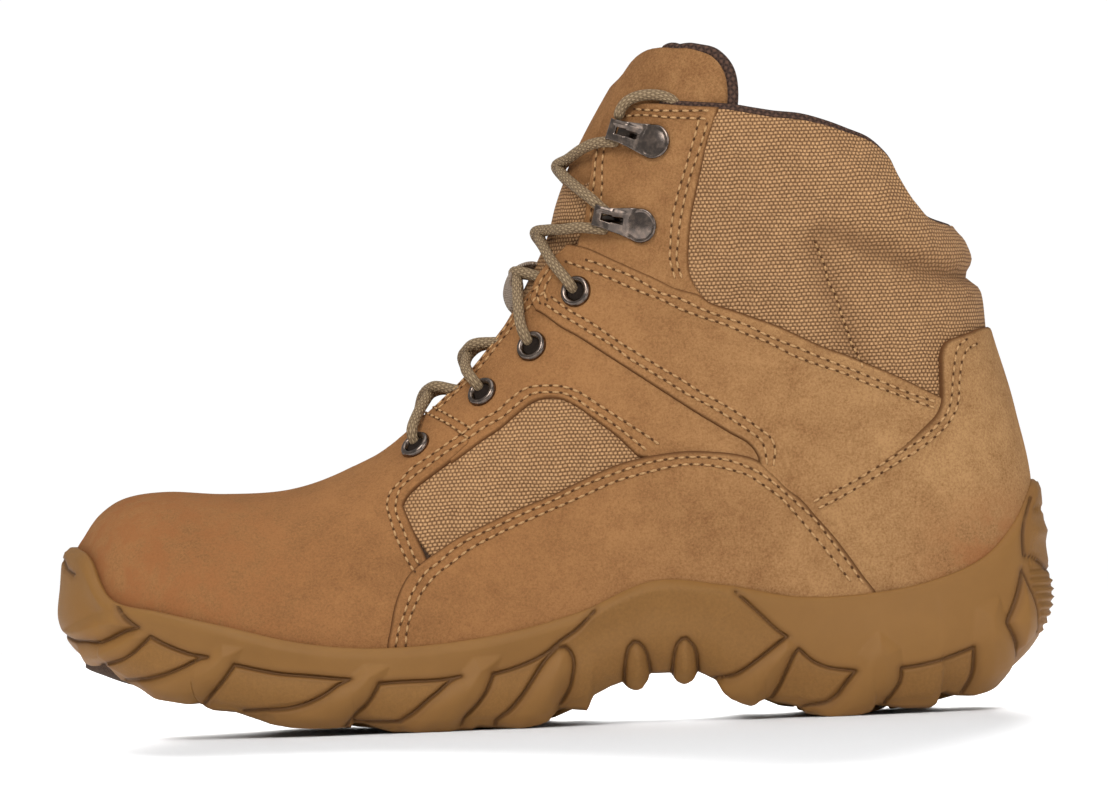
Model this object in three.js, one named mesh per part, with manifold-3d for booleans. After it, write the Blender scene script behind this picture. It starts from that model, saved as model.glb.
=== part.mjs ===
// A left combat boot, six-inch shaft, in millimetres. X runs forward to the toe, Y to the wearer's left
// (the outer side) and Z up. The origin lies on the floor at the centre of the boot's box.
//
// One function, lastPoint, gives the form of the last that the boot is made on. The upper, tongue, insole,
// heel counter and the cup inside the sole are all cut from it at different offsets.
import * as THREE from "three";
import { mergeVertices } from "three/addons/utils/BufferGeometryUtils.js";
import Module from "manifold-3d";

const wasm = await Module();
wasm.setup();

// ---- driving dimensions -------------------------------------------------------------------------
const GAP = 0.35; // clearance between pieces that touch
const LEATHER_WALL = 2.4; // suede plus lining
const COLLAR_WALL = 6; // the padded textile round the ankle
const TONGUE_WALL = 4.5;
const INSOLE_THICKNESS = 4;
const COUNTER_PROUD = 1.6; // leather of the heel counter, laid over the upper
const SOLE_LIP = 1.3; // how far the sole's top edge stands off the upper
const TREAD_DEPTH = 5;
const EYELET = { flange: 4.9, barrel: 3, hole: 2.3, proud: 1.3 };
const HOOK = { length: 21, width: 9.5, gauge: 1.1, gap: 3.9 };
const LACE_RADIUS = 1.7;
const RING_POINTS = 32; // points round one section of the last
const SECTION_STEP = 0.8; // rows of the section table between two modelled sections

// ---- the last -----------------------------------------------------------------------------------
// Each row is one section: a straight cut in side view from the crest (top of the foot or front of the
// ankle) to the far end (under the foot or behind the heel). lat and med are the widest Y on each side,
// mid is the crest's own Y, wide says how far down the cut the widest place lies, and front and back
// say how square the two ends are (2 is an ellipse, more is boxier).
const SECTIONS = [
  { crestX: 146.4, crestZ: 57.0, farX: 146.6, farZ: 22, lat: -5.0, med: -5.0, mid: -5.0, wide: 0.6, front: 2.2, back: 3.5 },
  { crestX: 143.4, crestZ: 62.6, farX: 144.6, farZ: 20, lat: 12.0, med: -22.5, mid: -5.0, wide: 0.64, front: 2.3, back: 4 },
  { crestX: 138.2, crestZ: 69.2, farX: 139.5, farZ: 18, lat: 24.5, med: -34.0, mid: -5.0, wide: 0.68, front: 2.4, back: 4.5 },
  { crestX: 130.2, crestZ: 73.8, farX: 131.0, farZ: 15, lat: 34.0, med: -41.5, mid: -5.0, wide: 0.7, front: 2.4, back: 5 },
  { crestX: 117.5, crestZ: 75.2, farX: 118.0, farZ: 12, lat: 42.0, med: -47.0, mid: -5.0, wide: 0.72, front: 2.35, back: 5 },
  { crestX: 100.0, crestZ: 73.9, farX: 99.0, farZ: 8, lat: 47.5, med: -49.5, mid: -4.5, wide: 0.74, front: 2.2, back: 5 },
  { crestX: 81.0, crestZ: 74.4, farX: 77.0, farZ: 6, lat: 50.0, med: -49.0, mid: -4.0, wide: 0.76, front: 2.05, back: 5 },
  { crestX: 65.0, crestZ: 78.9, farX: 55.0, farZ: 6, lat: 49.8, med: -46.0, mid: -3.5, wide: 0.76, front: 1.9, back: 5 },
  { crestX: 50.4, crestZ: 86.8, farX: 30.0, farZ: 6, lat: 47.8, med: -42.8, mid: -3.0, wide: 0.74, front: 1.85, back: 5 },
  { crestX: 37.0, crestZ: 98.6, farX: 3.0, farZ: 8, lat: 44.8, med: -39.8, mid: -2.5, wide: 0.72, front: 1.85, back: 5 },
  { crestX: 24.5, crestZ: 110.5, farX: -25.0, farZ: 12, lat: 42.0, med: -37.8, mid: -2.0, wide: 0.68, front: 1.9, back: 5 },
  { crestX: 14.0, crestZ: 124.0, farX: -58.0, farZ: 16, lat: 39.6, med: -36.6, mid: -1.5, wide: 0.62, front: 1.95, back: 5 },
  { crestX: 6.5, crestZ: 137.0, farX: -98.0, farZ: 18, lat: 37.6, med: -36.0, mid: -1.0, wide: 0.56, front: 2.0, back: 4.5 },
  { crestX: 0.6, crestZ: 149.0, farX: -138.0, farZ: 24, lat: 36.2, med: -35.6, mid: 0.0, wide: 0.48, front: 2.0, back: 3.3 },
  { crestX: -2.6, crestZ: 159.5, farX: -145.6, farZ: 62, lat: 36.4, med: -36.0, mid: 0.0, wide: 0.46, front: 2.0, back: 2.6 },
  { crestX: -6.0, crestZ: 168.0, farX: -141.5, farZ: 91, lat: 37.4, med: -37.0, mid: 0.0, wide: 0.45, front: 2.0, back: 2.3 },
  { crestX: -9.8, crestZ: 176.0, farX: -135.2, farZ: 115, lat: 38.6, med: -38.2, mid: 0.0, wide: 0.45, front: 2.0, back: 2.2 },
  { crestX: -14.2, crestZ: 184.0, farX: -131.4, farZ: 134, lat: 39.4, med: -39.0, mid: 0.0, wide: 0.46, front: 2.0, back: 2.2 },
  { crestX: -19.0, crestZ: 192.0, farX: -128.0, farZ: 149, lat: 39.4, med: -39.0, mid: 0.0, wide: 0.48, front: 2.0, back: 2.2 },
  { crestX: -24.0, crestZ: 200.0, farX: -118.5, farZ: 166, lat: 38.6, med: -38.2, mid: 0.0, wide: 0.5, front: 2.0, back: 2.2 },
  { crestX: -29.0, crestZ: 209.0, farX: -106.0, farZ: 190, lat: 37.6, med: -37.2, mid: 0.0, wide: 0.5, front: 2.0, back: 2.2 },
];
const LAST_SECTION = SECTIONS.length - 1;
const TOE_SECTION = 0.06; // the first section that is modelled, a hair behind the toe's tip

// A table's column at row k, smooth between rows. At the toe the table is continued as its own mirror.
function column(rows, name, k, mirrored = false) {
  const at = (i) => {
    if (i < 0) return mirrored ? rows[-i][name] : 2 * rows[0][name] - rows[-i][name];
    if (i >= rows.length) return 2 * rows[rows.length - 1][name] - rows[2 * rows.length - 2 - i][name];
    return rows[i][name];
  };
  const i = Math.min(Math.floor(k), rows.length - 2);
  const t = k - i;
  const [a, b, c, d] = [at(i - 1), at(i), at(i + 1), at(i + 2)];
  return b + 0.5 * t * (c - a + t * (2 * a - 5 * b + 4 * c - d + t * (3 * (b - c) + d - a)));
}

function section(k) {
  const value = (name, mirrored) => column(SECTIONS, name, k, mirrored);
  return {
    crest: new THREE.Vector2(value("crestX", true), value("crestZ")),
    far: new THREE.Vector2(value("farX", true), value("farZ")),
    lat: value("lat"),
    med: value("med"),
    mid: value("mid"),
    wide: value("wide"),
    front: value("front"),
    back: value("back"),
  };
}

// Share of the full width at a share down the cut.
function widthShare(s, down) {
  const front = down < s.wide;
  const u = front ? 1 - down / s.wide : (down - s.wide) / (1 - s.wide);
  const power = front ? s.front : s.back;
  return Math.pow(Math.max(0, 1 - Math.pow(Math.abs(u), power)), 1 / power);
}

// A point of the last: k is the section, and turn the angle round it, 0 at the crest, a half turn at the
// far end, positive on the outer side.
function basePoint(k, turn) {
  const s = section(k);
  const c = Math.cos(turn);
  const n = Math.abs(Math.sin(turn));
  const power = c > 0 ? s.front : s.back;
  const r = Math.pow(Math.pow(Math.abs(c), power) + Math.pow(n, power), -1 / power);
  const down = c > 0 ? s.wide * (1 - r * c) : s.wide - (1 - s.wide) * r * c;
  const side = turn >= 0 ? s.lat : s.med;
  const flat = s.crest.clone().lerp(s.far, down);
  return new THREE.Vector3(flat.x, s.mid + (side - s.mid) * r * n, flat.y);
}

function normalAt(k, turn) {
  const step = 0.02;
  const k1 = THREE.MathUtils.clamp(k, step, LAST_SECTION - step);
  const along = basePoint(k1 + step, turn).sub(basePoint(k1 - step, turn));
  const round = basePoint(k1, turn + step).sub(basePoint(k1, turn - step));
  return round.cross(along).normalize();
}

function lastPoint(k, turn, offset = 0) {
  return basePoint(k, turn).addScaledVector(normalAt(k, turn), offset);
}

// The section k whose cut passes through side-view point (x, z), and the share of the way down it.
function sectionThrough(x, z) {
  const sideOf = (k) => {
    const s = section(k);
    const cut = s.far.clone().sub(s.crest);
    return cut.cross(new THREE.Vector2(x, z).sub(s.crest));
  };
  let low = 0;
  let high = LAST_SECTION;
  const rising = sideOf(high) > sideOf(low);
  for (let i = 0; i < 40; i++) {
    const k = (low + high) / 2;
    if (sideOf(k) > 0 === rising) high = k;
    else low = k;
  }
  const s = section(low);
  const cut = s.far.clone().sub(s.crest);
  const down = new THREE.Vector2(x, z).sub(s.crest).dot(cut) / cut.lengthSq();
  return { k: low, down, s };
}

// The turn at which section k is a share down its cut, on side +1 (outer) or -1 (inner).
function turnAt(s, down, side) {
  const front = down < s.wide;
  const u = front ? 1 - down / s.wide : (s.wide - down) / (1 - s.wide);
  return side * Math.atan2(widthShare(s, down), u);
}

// Where side-view point (x, z) lies on one side of the last, and the outward normal there.
function onSide(x, z, side, lift = 0) {
  const { k, down, s } = sectionThrough(x, z);
  const turn = turnAt(s, THREE.MathUtils.clamp(down, 0, 1), side);
  const normal = normalAt(k, turn);
  return { point: basePoint(k, turn).addScaledVector(normal, lift), normal, k, turn };
}

function insideLast(p) {
  const { k, down, s } = sectionThrough(p.x, p.z);
  if (k < 0.001 || down <= 0 || down >= 1) return false;
  const share = widthShare(s, down);
  return p.y < s.mid + (s.lat - s.mid) * share && p.y > s.mid + (s.med - s.mid) * share;
}

// ---- side-view lines ----------------------------------------------------------------------------
function lineThrough(points) {
  return (x) => {
    const rising = points[0][0] < points[1][0] ? points : [...points].reverse();
    if (x <= rising[0][0]) return rising[0][1];
    for (let i = 1; i < rising.length; i++) {
      const [x0, z0] = rising[i - 1];
      const [x1, z1] = rising[i];
      if (x <= x1) return z0 + ((z1 - z0) * (x - x0)) / (x1 - x0);
    }
    return rising[rising.length - 1][1];
  };
}

// The floor inside the sole, which the upper and insole stand on: [x, z].
const insideFloor = lineThrough([
  [147, 28], [138, 23.5], [126, 19.5], [110, 16], [90, 13.5], [60, 12.3], [30, 13.2],
  [0, 17], [-30, 22], [-60, 25.5], [-100, 27.5], [-150, 28.5],
]);

// The underside of the tread: toe spring, forefoot flat, arch and heel flat: [x, z].
const treadLine = [
  [147, 28], [143.5, 23.2], [138, 21.6], [132, 18.4], [126, 15.4], [117, 11.9], [107, 9.3], [96, 6.6],
  [86, 4.2], [76, 2.6], [63, 1.2], [50, 0], [20, 0], [9, 0.8], [0, 2.8], [-8, 4.8], [-12, 8.6], [-18, 12],
  [-28, 15], [-42, 15.2], [-47, 13.6], [-51, 8.6], [-56, 5.2], [-65, 2.6], [-76, 0], [-98, 0], [-109, 1],
  [-120, 3.2], [-130, 5.6], [-137, 9.5], [-141, 15],
];
const underside = lineThrough(treadLine);

// ---- solids -------------------------------------------------------------------------------------
function solidFrom(geometry) {
  const bare = geometry.index ? geometry.toNonIndexed() : geometry.clone();
  for (const name of Object.keys(bare.attributes)) if (name !== "position") bare.deleteAttribute(name);
  const merged = mergeVertices(bare, 1e-4);
  return new wasm.Manifold(
    new wasm.Mesh({
      numProp: 3,
      vertProperties: merged.attributes.position.array,
      triVerts: new Uint32Array(merged.index.array),
    }),
  );
}

function geometryFrom(solid) {
  const mesh = solid.getMesh();
  const position = new Float32Array(mesh.numVert * 3);
  for (let i = 0; i < mesh.numVert; i++) {
    position.set(mesh.vertProperties.subarray(i * mesh.numProp, i * mesh.numProp + 3), i * 3);
  }
  const geometry = new THREE.BufferGeometry();
  geometry.setAttribute("position", new THREE.BufferAttribute(position, 3));
  geometry.setIndex(new THREE.BufferAttribute(new Uint32Array(mesh.triVerts), 1));
  return geometry;
}

// A closed solid through rings of points. Both ends are closed by joining each ring's point j to the
// point opposite it, so an end keeps the profile of its ring.
function loftRings(rings) {
  const count = rings[0].length;
  const position = rings.flat().flatMap((p) => [p.x, p.y, p.z]);
  const index = [];
  const quad = (a, b, c, d) => index.push(a, b, c, a, c, d);
  for (let i = 0; i + 1 < rings.length; i++) {
    for (let j = 0; j < count; j++) {
      const next = (j + 1) % count;
      quad(i * count + j, i * count + next, (i + 1) * count + next, (i + 1) * count + j);
    }
  }
  const cap = (start, flip) => {
    for (let j = 0; 2 * j + 1 < count; j++) {
      const corners = [j, (j + 1) % count, (2 * count - 2 - j) % count, (2 * count - 1 - j) % count];
      const unique = [...new Set(corners)].map((c) => start + c);
      if (unique.length < 3) continue;
      for (let t = 1; t + 1 < unique.length; t++) {
        const face = [unique[0], unique[t], unique[t + 1]];
        index.push(...(flip ? face : face.reverse()));
      }
    }
  };
  cap(0, false);
  cap((rings.length - 1) * count, true);
  const geometry = new THREE.BufferGeometry();
  geometry.setAttribute("position", new THREE.BufferAttribute(new Float32Array(position), 3));
  geometry.setIndex(index);
  const solid = solidFrom(geometry);
  return solid.volume() < 0 ? solidFrom(flipped(geometry)) : solid;
}

function flipped(geometry) {
  const index = Array.from(geometry.index.array);
  for (let i = 0; i < index.length; i += 3) [index[i + 1], index[i + 2]] = [index[i + 2], index[i + 1]];
  const turned = geometry.clone();
  turned.setIndex(index);
  return turned;
}

// The last as a solid, grown (or shrunk, where offset is negative) by offset(k, turn).
function lastSolid(offset, step = SECTION_STEP, points = RING_POINTS) {
  const rings = [];
  const rows = Math.round((LAST_SECTION - TOE_SECTION) / step);
  for (let i = 0; i <= rows; i++) {
    const k = TOE_SECTION + ((LAST_SECTION - TOE_SECTION) * i) / rows;
    const ring = [];
    for (let j = 0; j < points; j++) {
      const turn = -Math.PI + ((j + 0.5) * 2 * Math.PI) / points;
      ring.push(lastPoint(k, turn, offset(k, turn)));
    }
    rings.push(ring);
  }
  return loftRings(rings);
}

// A side-view outline, [x, z] pairs, made a solid slab from y0 to y1.
function slab(outline, y0 = -90, y1 = 90) {
  const shape = new THREE.Shape(outline.map(([x, z]) => new THREE.Vector2(x, z)));
  const geometry = new THREE.ExtrudeGeometry(shape, { depth: y1 - y0, bevelEnabled: false });
  geometry.rotateX(Math.PI / 2); // the outline's second axis becomes Z, and the depth runs along -Y
  geometry.translate(0, y1, 0);
  return solidFrom(geometry);
}

// Everything above (or below) the inside floor, moved up by lift.
function floorSlab(lift, up) {
  const line = [];
  for (let x = 160; x >= -165; x -= 5) line.push([x, insideFloor(x) + lift]);
  const z = up ? 260 : -60;
  return slab([...line, [-165, z], [160, z]]);
}

// ---- upper --------------------------------------------------------------------------------------
// Padding swells the wall from the facing's back edge to the back of the collar.
function wallAt(k, turn) {
  const above = THREE.MathUtils.smoothstep(k, 14.6, 16.4);
  const behind = THREE.MathUtils.smoothstep(Math.abs(turn), 1.15, 1.55);
  return LEATHER_WALL + (COLLAR_WALL - LEATHER_WALL) * above * behind;
}

// The collar's top line, from the front of the facing to the dip behind the ankle.
const COLLAR_LINE = [
  [5, 189], [-21, 187.2], [-27, 188.4], [-36, 188.2], [-48, 186.8], [-58.5, 185.6], [-72, 183.2],
  [-84, 180.8], [-95, 177.4], [-102, 174.2], [-106, 171], [-109, 166.5], [-113, 157.5], [-117.5, 152], [-123, 149.6],
  [-136, 149],
];

// Half the width of the throat at sections of the last.
const THROAT = [
  { k: 7.35, half: 2.5 }, { k: 7.8, half: 6.5 }, { k: 8.6, half: 7.6 }, { k: 9.6, half: 7.8 }, { k: 10.8, half: 8.2 },
  { k: 11.6, half: 10 }, { k: 12.4, half: 14 }, { k: 13.2, half: 18.4 }, { k: 14.2, half: 19.5 },
  { k: 15.4, half: 19 }, { k: 16.6, half: 17 }, { k: 17.6, half: 15.4 }, { k: 19.5, half: 15.4 },
];
const THROAT_REACH = { outside: 12, inside: 16 };

function throatCutter() {
  const rings = THROAT.map(({ k, half }) => {
    const s = section(k);
    const cut = s.far.clone().sub(s.crest).normalize();
    const corner = (y, along) => {
      const flat = s.crest.clone().addScaledVector(cut, along);
      return new THREE.Vector3(flat.x, s.mid + y, flat.y);
    };
    return [
      corner(-half, -THROAT_REACH.outside),
      corner(half, -THROAT_REACH.outside),
      corner(half, THROAT_REACH.inside),
      corner(-half, THROAT_REACH.inside),
    ];
  });
  return loftRings(rings);
}

// Eyelet centres and hook places in side view, lowest first; the same on both sides of the boot.
const EYELETS = [
  { x: 40.6, z: 86.7 },
  { x: 19.8, z: 102.3 },
  { x: 4.2, z: 115.7 },
  { x: -10.3, z: 131.6 },
];
const HOOKS = [
  { x: -26.4, z: 152.6 },
  { x: -31.8, z: 177.6 },
];
const SIDES = [
  { name: "outer", sign: 1 },
  { name: "inner", sign: -1 },
];

// Turns a piece made with +Z as its axis to stand on the last at (x, z), +X pointing along `forward`.
function placeOn(x, z, side, lift, forward) {
  const { point, normal } = onSide(x, z, side, lift);
  const ahead = new THREE.Vector3(forward[0], 0, forward[1]);
  ahead.addScaledVector(normal, -ahead.dot(normal)).normalize();
  const across = normal.clone().cross(ahead);
  return new THREE.Matrix4().makeBasis(ahead, across, normal).setPosition(point);
}

function cylinder(radius, from, to, segments = 16) {
  const geometry = new THREE.CylinderGeometry(radius, radius, to - from, segments);
  geometry.rotateX(Math.PI / 2);
  geometry.translate(0, 0, (from + to) / 2);
  return geometry;
}

function upperSolid() {
  const outer = lastSolid(() => 0);
  const inner = lastSolid((k, turn) => -wallAt(k, turn));
  const above = slab([...COLLAR_LINE, [-165, 149], [-165, 260], [20, 260], [20, 189]]);
  let shell = outer.subtract(inner).intersect(floorSlab(GAP, true)).subtract(above).subtract(throatCutter());
  for (const { sign } of SIDES) {
    for (const { x, z } of EYELETS) {
      const hole = cylinder(EYELET.barrel + GAP, -6, 6, 12).applyMatrix4(placeOn(x, z, sign, 0, [1, 0]));
      shell = shell.subtract(solidFrom(hole));
    }
  }
  return largestBody(shell);
}

// Booleans can leave crumbs: the piece is the largest body.
function largestBody(solid) {
  const bodies = solid.decompose();
  return bodies.reduce((best, body) => (body.volume() > best.volume() ? body : best));
}

// ---- tongue and insole --------------------------------------------------------------------------
const TONGUE_OUTLINE = [
  [73, 95], [73, 71], [62, 68], [44, 72], [26, 84], [8, 100], [-6, 114], [-20, 128], [-34, 146], [-46, 164],
  [-54, 178], [-58.5, 188], [-58.8, 195], [-56.5, 200], [-51, 203.4], [-44, 205.4], [-37, 206.4], [-31.5, 206.6],
  [-20, 206.6], [40, 150], [73, 110],
];

function tongueSolid() {
  const front = lastSolid((k, turn) => -(wallAt(k, turn) + GAP));
  const back = lastSolid((k, turn) => -(wallAt(k, turn) + GAP + TONGUE_WALL));
  return largestBody(front.subtract(back).intersect(slab(TONGUE_OUTLINE, -34, 34)));
}

function insoleSolid() {
  const form = lastSolid(() => -(LEATHER_WALL + GAP));
  const bed = floorSlab(GAP, true).subtract(floorSlab(GAP + INSOLE_THICKNESS, true));
  return largestBody(form.intersect(bed));
}

// ---- heel counter -------------------------------------------------------------------------------
const COUNTER_OUTLINE = [
  [-76, 66], [-85, 69.5], [-92, 72.5], [-100, 77], [-108, 82], [-113, 86], [-117, 89.5], [-119, 93],
  [-119.6, 102], [-120, 108], [-122, 112], [-127, 114.6], [-133, 116.2], [-150, 116.6], [-160, 60],
  [-143, 51.2], [-134, 47.4], [-127, 44], [-119, 41.4], [-109, 39.4], [-98, 38.4],
];

function counterSolid() {
  const proud = lastSolid(() => GAP + COUNTER_PROUD).subtract(lastSolid(() => GAP));
  return largestBody(proud.intersect(slab(COUNTER_OUTLINE)).subtract(soleBlock(2 * GAP)));
}

// ---- sole ---------------------------------------------------------------------------------------
// Rows from the toe's tip to the heel's: the outline's widest Y on each side, the top edge's height, and
// how far the tread's edge (under) lies inside the outline.
const SOLE_ROWS = [
  { x: 152.5, lat: -5.0, med: -5.0, top: 59.3, under: 8.5 },
  { x: 150.6, lat: 9.5, med: -21.5, top: 58.6, under: 8.2 },
  { x: 145.4, lat: 22.0, med: -34.0, top: 55.5, under: 7.5 },
  { x: 136.0, lat: 34.0, med: -44.5, top: 43.4, under: 6.5 },
  { x: 120.0, lat: 44.0, med: -51.5, top: 39.2, under: 5.5 },
  { x: 100.0, lat: 50.6, med: -54.6, top: 34.2, under: 5 },
  { x: 79.0, lat: 54.2, med: -54.8, top: 28.8, under: 5 },
  { x: 58.0, lat: 55.0, med: -51.8, top: 26.2, under: 5 },
  { x: 36.0, lat: 53.0, med: -47.2, top: 26.6, under: 5 },
  { x: 14.0, lat: 49.4, med: -43.4, top: 29.3, under: 5 },
  { x: -8.0, lat: 46.4, med: -41.4, top: 34.8, under: 5 },
  { x: -30.0, lat: 44.6, med: -41.0, top: 43.2, under: 5 },
  { x: -52.0, lat: 43.6, med: -41.4, top: 41.2, under: 5 },
  { x: -74.0, lat: 43.0, med: -42.0, top: 36.8, under: 5 },
  { x: -96.0, lat: 42.0, med: -42.0, top: 37.0, under: 5 },
  { x: -117.0, lat: 39.6, med: -39.6, top: 40.4, under: 6.5 },
  { x: -134.0, lat: 33.0, med: -33.0, top: 47.0, under: 10 },
  { x: -145.4, lat: 22.6, med: -22.6, top: 58.0, under: 14 },
  { x: -150.8, lat: 11.0, med: -11.0, top: 67.5, under: 16 },
  { x: -152.5, lat: 0.0, med: 0.0, top: 69.5, under: 16.5 },
];
const SOLE_STATIONS = 46;
const TOP_BEVEL = 2.6; // the top edge is rounded over this height
// The wall between tread edge and top: how high, and how far inside the outline, as a share of under.
const WALL_LEVELS = [
  { share: 0.17, inset: 0.38 },
  { share: 0.38, inset: 0 },
  { share: 0.66, inset: 0.08 },
];

// Column at a row of the sole table, mirrored at both tips so that the outline closes round.
function soleColumn(name, q) {
  const end = SOLE_ROWS.length - 1;
  const odd = name === "lat" || name === "med";
  const tip = (i) => SOLE_ROWS[i < 0 ? 0 : end][name];
  const at = (i) => {
    if (i >= 0 && i <= end) return SOLE_ROWS[i][name];
    const inside = SOLE_ROWS[i < 0 ? -i : 2 * end - i][name];
    return odd ? 2 * tip(i) - inside : inside;
  };
  const i = Math.min(Math.max(Math.floor(q), 0), end - 1);
  const t = q - i;
  const [a, b, c, d] = [at(i - 1), at(i), at(i + 1), at(i + 2)];
  return b + 0.5 * t * (c - a + t * (2 * a - 5 * b + 4 * c - d + t * (3 * (b - c) + d - a)));
}

function outlinePoint(q, side) {
  return new THREE.Vector2(soleColumn("x", q), soleColumn(side > 0 ? "lat" : "med", q));
}

// The outline's inward normal in plan.
function inwardAt(q, side) {
  const end = SOLE_ROWS.length - 1;
  const step = 0.05;
  if (q <= step) return new THREE.Vector2(-1, 0);
  if (q >= end - step) return new THREE.Vector2(1, 0);
  const along = outlinePoint(q + step, side).sub(outlinePoint(q - step, side)).normalize();
  return side > 0 ? new THREE.Vector2(along.y, -along.x).multiplyScalar(-1).negate() : new THREE.Vector2(-along.y, along.x);
}

// Points up one side of the sole's wall at row q, from the tread's edge to the top edge.
function wallPoints(q, side, lift) {
  const edge = outlinePoint(q, side);
  const inward = inwardAt(q, side);
  if (inward.y * side > 0) inward.negate();
  const top = soleColumn("top", q) + lift;
  const at = (inset) => edge.clone().addScaledVector(inward, inset);
  const under = soleColumn("under", q);
  const low = at(under);
  const bottom = underside(low.x);
  const rise = (share, inset) => {
    const p = at(inset);
    return new THREE.Vector3(p.x, p.y, bottom + (top - bottom) * share);
  };
  const clearOfLast = (z, margin) => {
    let inset = 0;
    while (inset < 14) {
      const deeper = at(inset + margin);
      if (insideLast(new THREE.Vector3(deeper.x, deeper.y, z))) break;
      inset += 0.1;
    }
    return at(inset < 14 ? inset : 5);
  };
  const shoulder = clearOfLast(top - TOP_BEVEL, SOLE_LIP + 1.7);
  const lip = clearOfLast(top, SOLE_LIP);
  return [
    new THREE.Vector3(low.x, low.y, bottom),
    ...WALL_LEVELS.map(({ share, inset }) => rise(share, inset * under)),
    new THREE.Vector3(shoulder.x, shoulder.y, top - TOP_BEVEL),
    new THREE.Vector3(lip.x, lip.y, top),
  ];
}

// Grooves of the tread, in plan: across the sole at x, swept back by sweep at each edge, and cut up to
// depth above the underside.
const CROSS_GROOVES = [
  { x: 126, sweep: -9, width: 5, depth: TREAD_DEPTH },
  { x: 104, sweep: -10, width: 5, depth: TREAD_DEPTH },
  { x: 82, sweep: -11, width: 5, depth: TREAD_DEPTH },
  { x: 60, sweep: -11, width: 5, depth: TREAD_DEPTH },
  { x: 19, sweep: -9, width: 5, depth: TREAD_DEPTH },
  { x: 1, sweep: -6, width: 5, depth: TREAD_DEPTH },
  { x: -64, sweep: 6, width: 6, depth: TREAD_DEPTH },
  { x: -100.5, sweep: 5, width: 5, depth: TREAD_DEPTH },
  { x: -118, sweep: 4, width: 5, depth: TREAD_DEPTH },
];
// Lengthwise grooves that part the edge lugs from the middle ones: plan outline from x0 to x1 at y.
const LONG_GROOVES = [
  { from: 118, to: 6, y: 22, width: 4.5 },
  { from: 118, to: 6, y: -24, width: 4.5 },
  { from: -60, to: -124, y: 18, width: 4.5 },
  { from: -60, to: -124, y: -18, width: 4.5 },
];

function planPrism(outline, z0, z1) {
  const shape = new THREE.Shape(outline.map(([x, y]) => new THREE.Vector2(x, y)));
  const geometry = new THREE.ExtrudeGeometry(shape, { depth: z1 - z0, bevelEnabled: false });
  geometry.translate(0, 0, z0);
  return solidFrom(geometry);
}

function treadCutter() {
  const cuts = [];
  for (const { x, sweep, width, depth } of CROSS_GROOVES) {
    const half = width / 2;
    const outline = [
      [x + half + sweep, 70], [x + half, 0], [x + half + sweep, -70],
      [x - half + sweep, -70], [x - half, 0], [x - half + sweep, 70],
    ];
    cuts.push(planPrism(outline, -5, underside(x) + depth * 0.8));
  }
  for (const { from, to, y, width } of LONG_GROOVES) {
    const steps = 4;
    for (let i = 0; i < steps; i++) {
      const a = from + ((to - from) * i) / steps;
      const b = from + ((to - from) * (i + 1)) / steps;
      const top = (underside(a) + underside(b)) / 2 + TREAD_DEPTH * 0.55;
      const outline = [[a, y - width / 2], [a, y + width / 2], [b, y + width / 2], [b, y - width / 2]];
      cuts.push(planPrism(outline, -5, top));
    }
  }
  return cuts.reduce((all, cut) => all.add(cut));
}

// Rows of the sole table at which it is modelled, closer together where the underside bends.
function soleRows() {
  const end = SOLE_ROWS.length - 1;
  const rows = [];
  for (let i = 0; i <= SOLE_STATIONS; i++) rows.push((end * i) / SOLE_STATIONS);
  rows[0] = 0.05;
  rows[SOLE_STATIONS] = end - 0.05;
  for (const x of [50, 20, -8, -12, -47, -51, -76, -98]) {
    let [low, high] = [0, end];
    for (let i = 0; i < 30; i++) {
      const mid = (low + high) / 2;
      if (soleColumn("x", mid) > x) low = mid;
      else high = mid;
    }
    rows.push(low);
  }
  return rows.sort((a, b) => a - b).filter((q, i, all) => i === 0 || q - all[i - 1] > 0.02);
}

// The sole before it is hollowed, with its top edge raised by lift.
function soleBlock(lift = 0) {
  return loftRings(soleRows().map((q) => [...wallPoints(q, 1, lift), ...wallPoints(q, -1, lift).reverse()]));
}

function outsoleSolid() {
  const cup = lastSolid(() => GAP).intersect(floorSlab(0, true));
  return largestBody(soleBlock().subtract(cup).subtract(treadCutter()));
}

// ---- eyelets, hooks and lace --------------------------------------------------------------------
function eyeletGeometry() {
  const { flange, barrel, hole, proud } = EYELET;
  const profile = [
    [hole, -2], [barrel, -2], [barrel, GAP], [flange, GAP], [flange - 0.3, GAP + proud * 0.6],
    [(flange + hole) / 2, GAP + proud], [hole, GAP + proud * 0.6], [hole, -2],
  ];
  const points = profile.map(([r, h]) => new THREE.Vector2(r, h));
  return new THREE.LatheGeometry(points, 10).rotateX(Math.PI / 2);
}

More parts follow.
